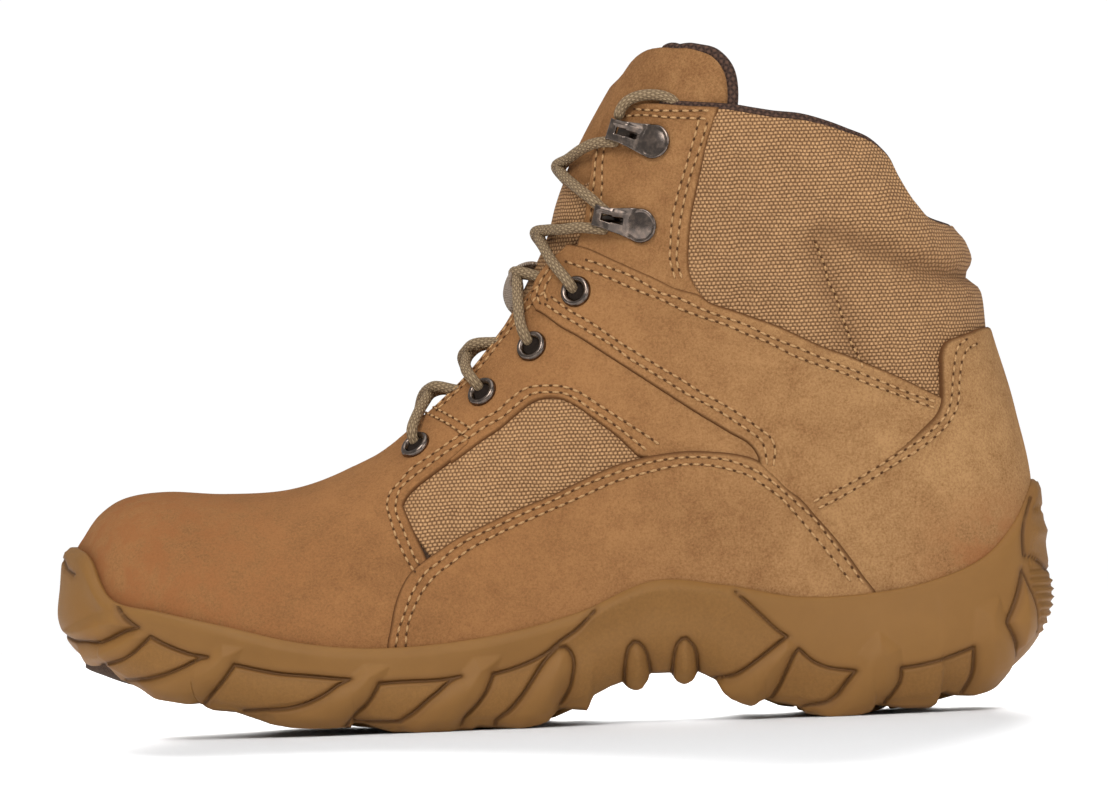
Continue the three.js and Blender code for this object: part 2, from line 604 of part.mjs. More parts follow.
// A strip bent back over itself: a plate on the leather, a bend at the throat, and a free arm above it.
function hookSolid() {
  const { length, width, gauge, gap } = HOOK;
  const back = -length * 0.5;
  const bend = length * 0.5 - (gap + 2 * gauge) / 2;
  const outerR = (gap + 2 * gauge) / 2;
  const shape = new THREE.Shape();
  shape.moveTo(back + 3, 0);
  shape.lineTo(bend, 0);
  shape.absarc(bend, outerR, outerR, -Math.PI / 2, Math.PI / 2, false);
  shape.lineTo(back, 2 * outerR);
  shape.lineTo(back, 2 * outerR - gauge);
  shape.lineTo(bend, 2 * outerR - gauge);
  shape.absarc(bend, outerR, outerR - gauge, Math.PI / 2, -Math.PI / 2, true);
  shape.lineTo(back + 3, gauge);
  const strip = new THREE.ExtrudeGeometry(shape, { depth: width, bevelEnabled: false, curveSegments: 3 });
  strip.rotateX(Math.PI / 2);
  strip.translate(0, width / 2, 0);
  const half = width / 2;
  const outline = new THREE.Shape();
  outline.moveTo(length / 2 + 1, half * 0.62);
  outline.lineTo(length * 0.12, half * 0.66);
  outline.quadraticCurveTo(-length * 0.04, half, -length * 0.22, half);
  outline.absarc(-length / 2 + half, 0, half, Math.PI / 2, (3 * Math.PI) / 2, false);
  outline.quadraticCurveTo(-length * 0.04, -half, length * 0.12, -half * 0.66);
  outline.lineTo(length / 2 + 1, -half * 0.62);
  const trim = new THREE.ExtrudeGeometry(outline, { depth: 20, bevelEnabled: false, curveSegments: 4 });
  trim.translate(0, 0, -5);
  return solidFrom(strip).intersect(solidFrom(trim));
}

// One strand of the lace: a tube through points of space.
function strand(points, steps) {
  const section = new THREE.Shape().absarc(0, 0, LACE_RADIUS, 0, 2 * Math.PI, false);
  const extrudePath = new THREE.CatmullRomCurve3(points);
  return new THREE.ExtrudeGeometry(section, { steps, extrudePath, bevelEnabled: false, curveSegments: 4 });
}

function abovePoint(k, y, lift) {
  const s = section(k);
  const side = y >= 0 ? 1 : -1;
  const full = Math.abs((side > 0 ? s.lat : s.med) - s.mid);
  const share = Math.min(Math.abs(y) / full, 0.999);
  const u = Math.pow(1 - Math.pow(share, s.front), 1 / s.front);
  return lastPoint(k, side * Math.atan2(share, u), lift);
}

// The crossings of the lace over the tongue: on each side a strand runs from over one eyelet or hook
// across the crest to the other side's facing, lift above the last. Places are section k and Y.
const CROSSINGS = [
  { name: "lace_crossing_1", fromK: 8.72, fromY: 13.5, toK: 9.7, toY: 9.5, lift: 3.7, dip: 1.7 },
  { name: "lace_crossing_2", fromK: 10.12, fromY: 14.5, toK: 10.86, toY: 11, lift: 3.7, dip: 1.9 },
  { name: "lace_crossing_3", fromK: 11.3, fromY: 16.5, toK: 12.06, toY: 13, lift: 3.7, dip: 2.1 },
  { name: "lace_crossing_4", fromK: 12.68, fromY: 18.5, toK: 13.6, toY: 19.5, lift: 3.7, dip: 3.1 },
  { name: "lace_crossing_5", fromK: 14.5, fromY: 20, toK: 16.1, toY: 19, lift: 3.6, dip: 3.1 },
];

function crossingSolid({ fromK, fromY, toK, toY, lift, dip }) {
  const across = (sign) => {
    const points = [0, 0.25, 0.5, 0.75, 1].map((t) => {
      const y = THREE.MathUtils.lerp(fromY, -toY, t) * sign;
      const k = THREE.MathUtils.lerp(fromK, toK, t);
      return abovePoint(k, y, lift - dip * Math.sin(Math.PI * t));
    });
    return solidFrom(strand(points, 7));
  };
  return across(1).add(across(-1));
}

// The lace's free end on each side: out over the top hook, along the top of the facing.
const LACE_END = [
  { x: -25.8, z: 185.6, lift: 2.7 },
  { x: -29.2, z: 188.4, lift: 2.8 },
  { x: -33.4, z: 190.4, lift: 1.6 },
  { x: -37.8, z: 190.8, lift: 0.4 },
  { x: -41.5, z: 190.4, lift: -0.4 },
];

// ---- materials ----------------------------------------------------------------------------------
const material = (color, roughness, metalness = 0) =>
  new THREE.MeshStandardMaterial({ color, roughness, metalness });
const suede = material(0xb07c4c, 0.9);
const gum = material(0x9c7242, 0.62);
const textile = material(0xa57d52, 0.85);
const foam = material(0x5b4232, 0.9);
const bronze = material(0x4c4340, 0.32, 0.9);
const cord = material(0x8f7d5c, 0.8);

// ---- assembly -----------------------------------------------------------------------------------
const boot = new THREE.Group();

function addPiece(name, geometry, look) {
  const mesh = new THREE.Mesh(geometry, look);
  mesh.name = name;
  boot.add(mesh);
  return mesh;
}

addPiece("outsole", geometryFrom(outsoleSolid()), gum);
addPiece("insole", geometryFrom(insoleSolid()), foam);
addPiece("upper", geometryFrom(upperSolid()), suede);
addPiece("heel_counter", geometryFrom(counterSolid()), suede);
addPiece("tongue", geometryFrom(tongueSolid()), textile);

const hook = geometryFrom(hookSolid());
const HOOK_FORWARD = [0.95, 0.31];
for (const { name, sign } of SIDES) {
  EYELETS.forEach(({ x, z }, i) => {
    addPiece(`eyelet_${name}_${i + 1}`, eyeletGeometry(), bronze).applyMatrix4(placeOn(x, z, sign, 0, [1, 0]));
  });
  HOOKS.forEach(({ x, z }, i) => {
    const place = placeOn(x, z, sign, 1.0, HOOK_FORWARD);
    addPiece(`hook_${name}_${i + 1}`, hook, bronze).applyMatrix4(place);
  });
  const tail = LACE_END.map(({ x, z, lift }) => onSide(x, z, sign, lift).point);
  addPiece(`lace_end_${name}`, strand(tail, 8), cord);
}
for (const crossing of CROSSINGS) addPiece(crossing.name, geometryFrom(crossingSolid(crossing)), cord);

export default boot;
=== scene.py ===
"""A left combat boot in tan suede, woven textile and gum rubber, standing on a pale studio floor.

The panels of the upper are cut flat in a chart of the last, laid on it and given their thickness. Lengths
in this file are millimetres on the last and the sole; the finished pieces are in metres.
"""

import math

import bmesh
import bpy
import numpy as np
from mathutils import Matrix, Vector
from mathutils.bvhtree import BVHTree


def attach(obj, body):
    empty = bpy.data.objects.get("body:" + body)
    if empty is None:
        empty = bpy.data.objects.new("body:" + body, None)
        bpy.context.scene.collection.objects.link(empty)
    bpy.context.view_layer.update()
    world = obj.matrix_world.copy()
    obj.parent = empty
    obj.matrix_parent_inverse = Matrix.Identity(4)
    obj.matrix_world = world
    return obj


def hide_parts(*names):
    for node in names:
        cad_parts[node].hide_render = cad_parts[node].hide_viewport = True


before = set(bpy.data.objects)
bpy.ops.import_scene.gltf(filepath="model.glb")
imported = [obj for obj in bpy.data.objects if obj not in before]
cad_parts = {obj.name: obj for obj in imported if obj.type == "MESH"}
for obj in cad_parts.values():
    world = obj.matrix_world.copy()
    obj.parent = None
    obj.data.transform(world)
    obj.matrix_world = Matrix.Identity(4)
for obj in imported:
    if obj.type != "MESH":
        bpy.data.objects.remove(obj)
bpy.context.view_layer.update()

MM = 0.001
PI = math.pi
OUTER, INNER = 1, -1

# ---- the last ------------------------------------------------------------------------------------
# One row per section: a straight cut in side view from the crest to the far end, the widest Y on the
# outer and inner side, the crest's own Y, how far down the widest place lies, and how square the two
# ends of the section are.
CREST_X, CREST_Z, FAR_X, FAR_Z, LAT, MED, MID, WIDE, FRONT, BACK = range(10)
SECTIONS = np.array(
    [
        (146.4, 57.0, 146.6, 22, -5.0, -5.0, -5.0, 0.60, 2.20, 3.5),
        (143.4, 62.6, 144.6, 20, 12.0, -22.5, -5.0, 0.64, 2.30, 4.0),
        (138.2, 69.2, 139.5, 18, 24.5, -34.0, -5.0, 0.68, 2.40, 4.5),
        (130.2, 73.8, 131.0, 15, 34.0, -41.5, -5.0, 0.70, 2.40, 5.0),
        (117.5, 75.2, 118.0, 12, 42.0, -47.0, -5.0, 0.72, 2.35, 5.0),
        (100.0, 73.9, 99.0, 8, 47.5, -49.5, -4.5, 0.74, 2.20, 5.0),
        (81.0, 74.4, 77.0, 6, 50.0, -49.0, -4.0, 0.76, 2.05, 5.0),
        (65.0, 78.9, 55.0, 6, 49.8, -46.0, -3.5, 0.76, 1.90, 5.0),
        (50.4, 86.8, 30.0, 6, 47.8, -42.8, -3.0, 0.74, 1.85, 5.0),
        (37.0, 98.6, 3.0, 8, 44.8, -39.8, -2.5, 0.72, 1.85, 5.0),
        (24.5, 110.5, -25.0, 12, 42.0, -37.8, -2.0, 0.68, 1.90, 5.0),
        (14.0, 124.0, -58.0, 16, 39.6, -36.6, -1.5, 0.62, 1.95, 5.0),
        (6.5, 137.0, -98.0, 18, 37.6, -36.0, -1.0, 0.56, 2.00, 4.5),
        (0.6, 149.0, -138.0, 24, 36.2, -35.6, 0.0, 0.48, 2.00, 3.3),
        (-2.6, 159.5, -145.6, 62, 36.4, -36.0, 0.0, 0.46, 2.00, 2.6),
        (-6.0, 168.0, -141.5, 91, 37.4, -37.0, 0.0, 0.45, 2.00, 2.3),
        (-9.8, 176.0, -135.2, 115, 38.6, -38.2, 0.0, 0.45, 2.00, 2.2),
        (-14.2, 184.0, -131.4, 134, 39.4, -39.0, 0.0, 0.46, 2.00, 2.2),
        (-19.0, 192.0, -128.0, 149, 39.4, -39.0, 0.0, 0.48, 2.00, 2.2),
        (-24.0, 200.0, -118.5, 166, 38.6, -38.2, 0.0, 0.50, 2.00, 2.2),
        (-29.0, 209.0, -106.0, 190, 37.6, -37.2, 0.0, 0.50, 2.00, 2.2),
    ]
)
TOP_SECTION = len(SECTIONS) - 1


def curved(a, b, c, d, t):
    """From b to c as t runs from 0 to 1, on a curve that comes from a and leads on to d."""
    return b + 0.5 * t * (c - a + t * (2 * a - 5 * b + 4 * c - d + t * (3 * (b - c) + d - a)))


def between_rows(table, k, even=(), even_end=()):
    """A table's row at k, smooth from row to row. The columns in even mirror at the first row, those in
    even_end at the last."""
    first = 2 * table[0] - table[1]
    last = 2 * table[-1] - table[-2]
    for column in even:
        first[column] = table[1][column]
    for column in even_end:
        last[column] = table[-2][column]
    padded = np.vstack([first, table, last])
    i = np.clip(np.floor(k).astype(int), 0, len(table) - 2)
    return curved(*(padded[i + n] for n in range(4)), (k - i)[..., None])


def section(k):
    return between_rows(SECTIONS, np.asarray(k, float), even=(CREST_X, FAR_X))


def bare_last(k, turn):
    """A point on the last. turn is 0 at the crest and a half turn at the far end, positive outside."""
    s = section(k)
    c, n = np.cos(turn), np.abs(np.sin(turn))
    power = np.where(c > 0, s[..., FRONT], s[..., BACK])
    r = (np.abs(c) ** power + n**power) ** (-1 / power)
    wide = s[..., WIDE]
    down = np.where(c > 0, wide * (1 - r * c), wide - (1 - wide) * r * c)
    side = np.where(np.sin(turn) >= 0, s[..., LAT], s[..., MED])
    x = s[..., CREST_X] + (s[..., FAR_X] - s[..., CREST_X]) * down
    z = s[..., CREST_Z] + (s[..., FAR_Z] - s[..., CREST_Z]) * down
    return np.stack([x, s[..., MID] + (side - s[..., MID]) * r * n, z], axis=-1)


def outward(k, turn):
    step = 0.02
    k = np.clip(k, step, TOP_SECTION - step)
    along = bare_last(k + step, turn) - bare_last(k - step, turn)
    around = bare_last(k, turn + step) - bare_last(k, turn - step)
    normal = np.cross(around, along)
    return normal / np.linalg.norm(normal, axis=-1, keepdims=True)


def on_last(k, turn, lift=0.0):
    k, turn = np.asarray(k, float), np.asarray(turn, float)
    return bare_last(k, turn) + outward(k, turn) * np.asarray(lift, float)[..., None]


HALVINGS = 36


def trace(points):
    """Side-view points (x, z) on the outer side, as rows of (section, turn), found by halving."""
    x, z = np.asarray(points, float).T

    def beyond(k):
        s = section(k)
        cut_x, cut_z = s[..., FAR_X] - s[..., CREST_X], s[..., FAR_Z] - s[..., CREST_Z]
        return cut_x * (z - s[..., CREST_Z]) - cut_z * (x - s[..., CREST_X])

    low, high = np.zeros_like(x), np.full_like(x, TOP_SECTION)
    rising = beyond(high) > beyond(low)
    for _ in range(HALVINGS):
        k = (low + high) / 2
        above = (beyond(k) > 0) == rising
        low, high = np.where(above, low, k), np.where(above, k, high)
    s = section(low)
    cut = np.stack([s[..., FAR_X] - s[..., CREST_X], s[..., FAR_Z] - s[..., CREST_Z]], axis=-1)
    reach = np.stack([x - s[..., CREST_X], z - s[..., CREST_Z]], axis=-1)
    down = np.clip((cut * reach).sum(-1) / (cut * cut).sum(-1), 0, 1)
    wide = s[..., WIDE]
    u = np.where(down < wide, 1 - down / wide, (wide - down) / (1 - wide))
    power = np.where(down < wide, s[..., FRONT], s[..., BACK])
    share = (1 - np.minimum(np.abs(u), 1) ** power) ** (1 / power)
    return np.stack([low, np.arctan2(share, u)], axis=-1)


def turn_at_width(k, y):
    """The turn on section k at which the last is y wide from its middle, in front."""
    s = section(k)
    share = np.minimum(np.abs(y) / (s[..., LAT] - s[..., MID]), 0.999)
    u = (1 - share ** s[..., FRONT]) ** (1 / s[..., FRONT])
    return np.arctan2(share, u)


def smoothstep(low, high, x):
    t = np.clip((np.asarray(x, float) - low) / (high - low), 0, 1)
    return t * t * (3 - 2 * t)


def reach_along(line):
    """How far along a line each of its points lies."""
    return np.concatenate([[0], np.cumsum(np.linalg.norm(np.diff(line, axis=0), axis=1))])


SHARP = 36.0  # degrees of bend that make a corner


def fair(points, step=1.5):
    """A line through measured points, smooth but for its sharp corners."""
    p = np.asarray(points, float)
    ahead = np.diff(p, axis=0)
    angle = np.degrees(np.arctan2(ahead[:, 1], ahead[:, 0]))
    bend = np.abs((np.diff(angle) + 180) % 360 - 180)
    stops = [0, *(np.nonzero(bend > SHARP)[0] + 1), len(p) - 1]
    runs = []
    for a, b in zip(stops, stops[1:]):
        run = p[a : b + 1]
        if len(run) == 2:
            count = max(1, int(np.hypot(*(run[1] - run[0])) / step))
            runs.append(run[0] + (run[1] - run[0]) * np.linspace(0, 1, count + 1)[:-1, None])
            continue
        reach = reach_along(run)
        count = max(2, int(reach[-1] / step))
        place = np.interp(np.linspace(0, reach[-1], count + 1)[:-1], reach, np.arange(len(run)))
        runs.append(between_rows(run, place))
    return np.vstack([*runs, p[-1:]])


def seam(points, step=1.5):
    return trace(fair(points, step))


# Half the width of the throat at sections of the last.
THROAT = np.array(
    [
        (7.35, 1.5), (7.8, 6.0), (8.6, 7.6), (9.6, 7.8), (10.8, 8.2), (11.6, 10.0),
        (12.4, 14.0), (13.2, 18.4), (14.2, 19.5), (15.4, 19.0), (16.6, 17.0), (17.6, 15.4), (19.5, 15.4),
    ]
)  # fmt: skip


def throat_edge(k0, k1, count, wider=0.0):
    """The throat's outer edge, or a line that much wider, between two sections."""
    k = np.linspace(k0, k1, count)
    return np.stack([k, turn_at_width(k, np.interp(k, *THROAT.T) + wider)], axis=-1)


# ---- meshes --------------------------------------------------------------------------------------
def to_object(bm, name, material, replaces=()):
    """The finished piece, from millimetres to metres, riding with the boot."""
    bmesh.ops.scale(bm, vec=(MM, MM, MM), verts=bm.verts[:])
    mesh = bpy.data.meshes.new(name)
    bm.to_mesh(mesh)
    bm.free()
    mesh.materials.append(material)
    mesh.polygons.foreach_set("use_smooth", [True] * len(mesh.polygons))
    piece = bpy.data.objects.new(name, mesh)
    bpy.context.scene.collection.objects.link(piece)
    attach(piece, "root")
    if replaces:
        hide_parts(*replaces)
    return piece


def where_verts_are(bm):
    return np.array([v.co[:] for v in bm.verts])


def move_verts(bm, places):
    for vert, place in zip(bm.verts, places):
        vert.co = place


def mark(bm, name, values):
    """Keeps a number on each vertex for the piece's material."""
    layer = bm.verts.layers.float.get(name) or bm.verts.layers.float.new(name)
    for vert, value in zip(bm.verts, values):
        vert[layer] = value


def lay_uv(bm, values):
    """The piece's own map, in millimetres of cloth or cord, from a pair for each vertex."""
    layer = bm.loops.layers.uv.verify()
    bm.verts.index_update()
    for face in bm.faces:
        for loop in face.loops:
            loop[layer].uv = values[loop.vert.index]


def bent_grid(columns, rows, place, bm=None):
    """A flat grid bent to place(s, t), with s and t from 0 to 1. Returns the bmesh and s, t."""
    bm = bm or bmesh.new()
    new = bmesh.ops.create_grid(bm, x_segments=columns, y_segments=rows, size=0.5)["verts"]
    flat = np.array([v.co[:] for v in new])
    s, t = flat[:, 0] + 0.5, flat[:, 1] + 0.5
    for vert, co in zip(new, place(s, t)):
        vert.co = co
    return bm, s, t


def face_out(bm, away_from):
    """Turns every face so that most look away from the given point."""
    bm.normal_update()
    lean = sum(f.normal.dot(f.calc_center_median() - away_from) * f.calc_area() for f in bm.faces)
    if lean < 0:
        bmesh.ops.reverse_faces(bm, faces=bm.faces[:])


SIDES = (("outer", OUTER), ("inner", INNER))
CHART = np.array([15.0, 42.0])  # millimetres to one section, and to one radian of turn
GRID = {"fine": (0.1, PI / 80), "coarse": (0.2, PI / 40)}


def mirrored_ring(line, across):
    """Closes a panel that lies across the boot's front or back with its mirror image."""
    turned = line[:, 1] * -1 + (2 * PI if across == "back" else 0)
    return np.vstack([line, np.stack([line[:, 0], turned], axis=-1)[::-1]])


def cut_panel(ring, grid="fine", rims=(0.4, 0.5)):
    """A flat polygon in the chart with rim rings and a grid of cuts across it."""
    keep = np.hypot(*((np.roll(ring, -1, 0) - ring) * CHART).T) > 0.25
    ring = ring[keep]
    bm = bmesh.new()
    verts = [bm.verts.new((*(p * CHART), 0)) for p in ring]
    bm.faces.new(verts)
    bmesh.ops.recalc_face_normals(bm, faces=bm.faces[:])
    inside = bm.faces[:]
    for width in rims:
        bmesh.ops.inset_region(bm, faces=inside, thickness=width, use_boundary=True, use_even_offset=False)
    low, high = ring.min(0), ring.max(0)
    for axis, step in enumerate(GRID[grid]):
        for n in range(math.ceil(low[axis] / step), math.ceil(high[axis] / step)):
            at = [0.0, 0.0, 0.0]
            across = [0.0, 0.0, 0.0]
            at[axis], across[axis] = n * step * CHART[axis], 1.0
            geometry = bm.verts[:] + bm.edges[:] + bm.faces[:]
            bmesh.ops.bisect_plane(bm, geom=geometry, dist=1e-4, plane_co=at, plane_no=across)
    return bm, ring


def chart_places(bm, side=OUTER):
    """Where a flat panel's vertices lie in the chart, with the section and the turn of each."""
    flat = where_verts_are(bm)[:, :2]
    return flat, flat[:, 0] / CHART[0], flat[:, 1] / CHART[1] * side


def edge_distance(flat, ring):
    """How far each flat point lies inside the outline, leaving out the toe's centre line."""
    start, end = ring * CHART, np.roll(ring, -1, 0) * CHART
    real = ~((np.abs(start[:, 0]) < 0.05) & (np.abs(end[:, 0]) < 0.05))
    start, end = start[real], end[real]
    best = np.full(len(flat), 1e9)
    for a, b in zip(start, end):
        span = b - a
        t = np.clip(((flat - a) @ span) / (span @ span), 0, 1)
        best = np.minimum(best, np.hypot(*(flat - a - t[:, None] * span).T))
    return best


ROUNDED = 0.8  # radius of a cut piece's edge
FAR_INSIDE = 20  # where the distance to the edge stops counting


def panel(name, line, material, lift, depth=1.6, across=None, side=OUTER, shape=None, replaces=(),
          uv=False, padded=0.0, deepest=None):  # fmt: skip
    """Lays one cut piece of the upper on the last. line is its outline on the outer side; lift its top
    above the last, a number or a function of place; shape adds relief from (place, edge distance);
    deepest, from (section, turn), is the lowest that its back may lie."""
    ring = mirrored_ring(line, across) if across else line
    bm, ring = cut_panel(ring)
    flat, k, turn = chart_places(bm, side)
    inset = edge_distance(flat, ring)
    base = on_last(k, turn, np.zeros(len(k)))
    height = lift(base) if callable(lift) else np.full(len(k), float(lift))
    rounding = np.clip(1 - inset / ROUNDED, 0, 1)
    top = height - ROUNDED * (1 - np.sqrt(1 - np.minimum(rounding, 0.999) ** 2))
    if shape:
        top = top + shape(base, inset)
    # The edge distance, kept for the suede's darker edge band: part cut-edge colour, part painted seam shade.
    mark(bm, "inset", np.minimum(inset, FAR_INSIDE))
    rim = [e for e in bm.edges if e.is_boundary]
    seam_line = [e for e in rim if all(abs(v.co.x) < 0.02 for v in e.verts)]
    skirt = bmesh.ops.extrude_edge_only(bm, edges=[e for e in rim if e not in set(seam_line)])
    under = {v for v in skirt["geom"] if isinstance(v, bmesh.types.BMVert)}
    if padded:
        backs = [f for f in bm.faces if not any(v in under for v in f.verts)]
        backs = bmesh.ops.duplicate(bm, geom=backs + list({v for f in backs for v in f.verts}))["geom"]
        under |= {v for v in backs if isinstance(v, bmesh.types.BMVert)}
        bmesh.ops.reverse_faces(bm, faces=[f for f in backs if isinstance(f, bmesh.types.BMFace)])
    flat, k, turn = chart_places(bm, side)
    lifts = np.empty(len(flat))
    lifts[: len(top)] = top
    spots = [(round(v.co.x, 4), round(v.co.y, 4)) for v in bm.verts]
    above = {spots[i]: i for i, v in enumerate(bm.verts) if v not in under}
    for i, v in enumerate(bm.verts):
        if v in under:
            lifts[i] = lifts[above[spots[i]]] - depth
    if deepest:
        lifts = np.maximum(lifts, deepest(k, turn))
    places = on_last(k, turn, lifts)
    if uv:
        lay_uv(bm, cloth_map(bare_last(k, turn)))
    move_verts(bm, places)
    bmesh.ops.remove_doubles(bm, verts=bm.verts[:], dist=0.01)
    bm.normal_update()
    lean = 0.0
    for face in bm.faces[:400]:
        centre = np.array(face.calc_center_median()[:])
        near = np.argmin(((places[: len(top)] - centre) ** 2).sum(1))
        lean += float(np.dot(outward(k[near : near + 1], turn[near : near + 1])[0], face.normal)) * face.calc_area()
    if lean < 0:
        bmesh.ops.reverse_faces(bm, faces=bm.faces[:])
    piece = to_object(bm, name, material, replaces)
    return piece


# The cloth's own map: millimetres round the boot from the middle of its side, and height.
CLOTH_STEP = (1.0, 4.0)
CLOTH_X = np.arange(-140.0, 60.0, CLOTH_STEP[0])
CLOTH_Z = np.arange(60.0, 206.0, CLOTH_STEP[1])
CLOTH_MIDDLE = -72.0
CLOTH_RISE = 1.04  # the wall leans in, so it is a little longer than it is high


def girth_table():
    """At each height, how far round the boot each X lies from the cloth's middle."""
    rows = []
    for z in CLOTH_Z:
        x = np.linspace(60, -150, 500)
        s = trace(np.stack([x, np.full_like(x, z)], axis=-1))
        p = bare_last(s[:, 0], s[:, 1])
        real = np.abs(p[:, 2] - z) < 0.8
        p = p[real]
        reach = reach_along(p[:, :2])
        order = np.argsort(p[:, 0])
        u = np.interp(CLOTH_X, p[order, 0], reach[order])
        rows.append(u - np.interp(CLOTH_MIDDLE, p[order, 0], reach[order]))
    return np.array(rows)


GIRTH = girth_table()


def cloth_map(places):
    """The map's two values at places on the last, read between the table's rows and columns."""
    x = np.clip((places[:, 0] - CLOTH_X[0]) / CLOTH_STEP[0], 0, len(CLOTH_X) - 1.001)
    z = np.clip((places[:, 2] - CLOTH_Z[0]) / CLOTH_STEP[1], 0, len(CLOTH_Z) - 1.001)
    i, j = z.astype(int), x.astype(int)
    fi, fj = z - i, x - j
    low = GIRTH[i, j] * (1 - fj) + GIRTH[i, j + 1] * fj
    high = GIRTH[i + 1, j] * (1 - fj) + GIRTH[i + 1, j + 1] * fj
    u = low * (1 - fi) + high * fi
    return np.stack([u, places[:, 2] * CLOTH_RISE], axis=-1)


# ---- finishes ------------------------------------------------------------------------------------
class Wire:
    """A value or colour inside a finish; plain arithmetic on values adds Math nodes."""

    def __init__(self, finish, socket):
        self.finish, self.socket = finish, socket

    def math(self, operation, *others, clamp=False):
        settings = {"operation": operation, "use_clamp": clamp}
        inputs = dict(enumerate((self, *others)))
        return self.finish.add("ShaderNodeMath", settings, inputs)

    def __add__(self, other):
        return self.math("ADD", other)

    def __sub__(self, other):
        return self.math("SUBTRACT", other)

    def __mul__(self, other):
        return self.math("MULTIPLY", other)

    def __truediv__(self, other):
        return self.math("DIVIDE", other)

    def __pow__(self, other):
        return self.math("POWER", other)

    __radd__ = __add__

    def clamped(self):
        return self.math("ADD", 0.0, clamp=True)

    def rise(self, low, high):
        """0 below low, 1 above high and smooth between them."""
        settings = {"interpolation_type": "SMOOTHSTEP"}
        return self.finish.add("ShaderNodeMapRange", settings, {0: self, 1: low, 2: high, 3: 0.0, 4: 1.0})


class Finish:
    """One procedural material."""

    def __init__(self, name, roughness, **uniform):
        self.material = bpy.data.materials.new(name)
        self.material.use_nodes = True
        self.nodes, self.links = self.material.node_tree.nodes, self.material.node_tree.links
        self.shader = self.nodes["Principled BSDF"]
        self.set("Roughness", roughness)
        for socket, value in uniform.items():
            self.set(socket.replace("_", " "), value)

    def set(self, socket, value):
        target = self.shader.inputs[socket]
        if isinstance(value, Wire):
            self.links.new(value.socket, target)
        else:
            target.default_value = value

    def add(self, kind, settings=None, inputs=None, output=0):
        node = self.nodes.new(kind)
        for key, value in (settings or {}).items():
            setattr(node, key, value)
        for key, value in (inputs or {}).items():
            target = node.inputs[key]
            if isinstance(value, Wire):
                self.links.new(value.socket, target)
            else:
                target.default_value = value
        return Wire(self, node.outputs[output])

    def place(self):
        return self.add("ShaderNodeTexCoord", output="Object")

    def noise(self, size_mm, detail=3.0, roughness=0.55):
        """Noise whose features are about size_mm across."""
        inputs = {"Vector": self.place(), "Scale": 1 / (size_mm * MM), "Detail": detail, "Roughness": roughness}
        return self.add("ShaderNodeTexNoise", inputs=inputs)

    def mark(self, name):
        return self.add("ShaderNodeAttribute", {"attribute_name": name}, output="Fac")

    def mix(self, share, a, b):
        return self.add("ShaderNodeMix", {"data_type": "RGBA"}, {0: share, 6: a, 7: b}, output=2)

    def axes(self, vector=None):
        node = self.add("ShaderNodeSeparateXYZ", inputs={0: vector or self.place()})
        parts = node.socket.node.outputs
        return [Wire(self, parts[i]) for i in range(3)]

    def relief(self, height, depth_mm, strength=1.0):
        """Bumps the surface by height, which runs from 0 to 1, over depth_mm."""
        inputs = {"Height": height, "Distance": depth_mm * MM, "Strength": strength}
        self.set("Normal", self.add("ShaderNodeBump", inputs=inputs))


def rgba(r, g, b):
    return (r, g, b, 1.0)


def suede(name, near_toe, near_heel, dark, red):
    """Brushed leather: mottled, redder at the toe and the heel's foot, darker towards the top at the collar. The band
    along each cut edge is darker: partly the cut edge's own colour, partly painted shade along the seams.
    """
    finish = Finish(name, 0.95, Sheen_Weight=0.05, Sheen_Roughness=0.5, Specular_IOR_Level=0.12)
    finish.shader.inputs["Sheen Tint"].default_value = near_heel
    blotch = finish.noise(30, 3.0)
    cloud = finish.noise(6.5, 4.0, 0.65)
    nap = finish.noise(0.75, 4.0, 0.85)
    x, _, z = finish.axes()
    light = finish.mix((x * -1).rise(-0.03, 0.13), near_toe, near_heel)
    tone = (blotch - 0.5) * 1.0 + (cloud - 0.5) * 1.0 + (nap - 0.5) * 2.6 - z.rise(0.150, 0.190) * 0.35 + 0.62
    colour = finish.mix(tone.clamped(), dark, light)
    warm = x.rise(0.04, 0.15) * 0.7 + (x * -1).rise(0.10, 0.14) * (z * -1).rise(-0.075, -0.045) * 0.8
    colour = finish.mix((warm * (cloud + nap * 0.4).rise(0.52, 0.84)).clamped(), colour, red)
    # The band along each cut edge is darker: partly the cut edge's own colour, partly painted shade along the seams.
    edge = finish.mark("inset").rise(0.0, ROUNDED)
    colour = finish.mix(edge, rgba(0.13, 0.055, 0.02), colour)
    finish.set("Base Color", colour)
    finish.relief(nap * 0.7 + cloud * 0.3, 0.45, 0.9)
    return finish.material


def woven(name, light, dark, pitch):
    """A coarse weave: rows of thread ends like rounded beads, each row half a bead along from the last, with painted
    shade where the cloth is marked as lying in a quilting valley.
    """
    finish = Finish(name, 0.8, Specular_IOR_Level=0.25)
    u, v, _ = finish.axes(finish.add("ShaderNodeUVMap"))
    cloud = finish.noise(9, 3.0)
    row = (v + cloud * 1.6) / (pitch * 0.86)
    column = (u + cloud * 1.2) / pitch + (row / 2).math("FRACT").math("LESS_THAN", 0.5) * 0.5
    wide, tall = ((across.math("FRACT") * PI).math("SINE") for across in (column, row))
    bead = (wide * tall).clamped() ** 0.6
    grain = finish.noise(0.5, 2.0)
    strand = finish.noise(2.6, 2.0)
    tone = bead * 1.15 + (grain - 0.5) * 0.4 + (cloud - 0.5) * 0.3 + (strand - 0.5) * 0.4 - 0.2
    colour = finish.mix(tone.clamped(), dark, light)
    # Painted shade: the cloth darkens where it is marked as lying in a quilting valley.
    finish.set("Base Color", finish.mix(finish.mark("quilt_valley_shade") * 0.42, colour, dark))
    finish.relief(bead, 0.5, 0.9)
    return finish.material


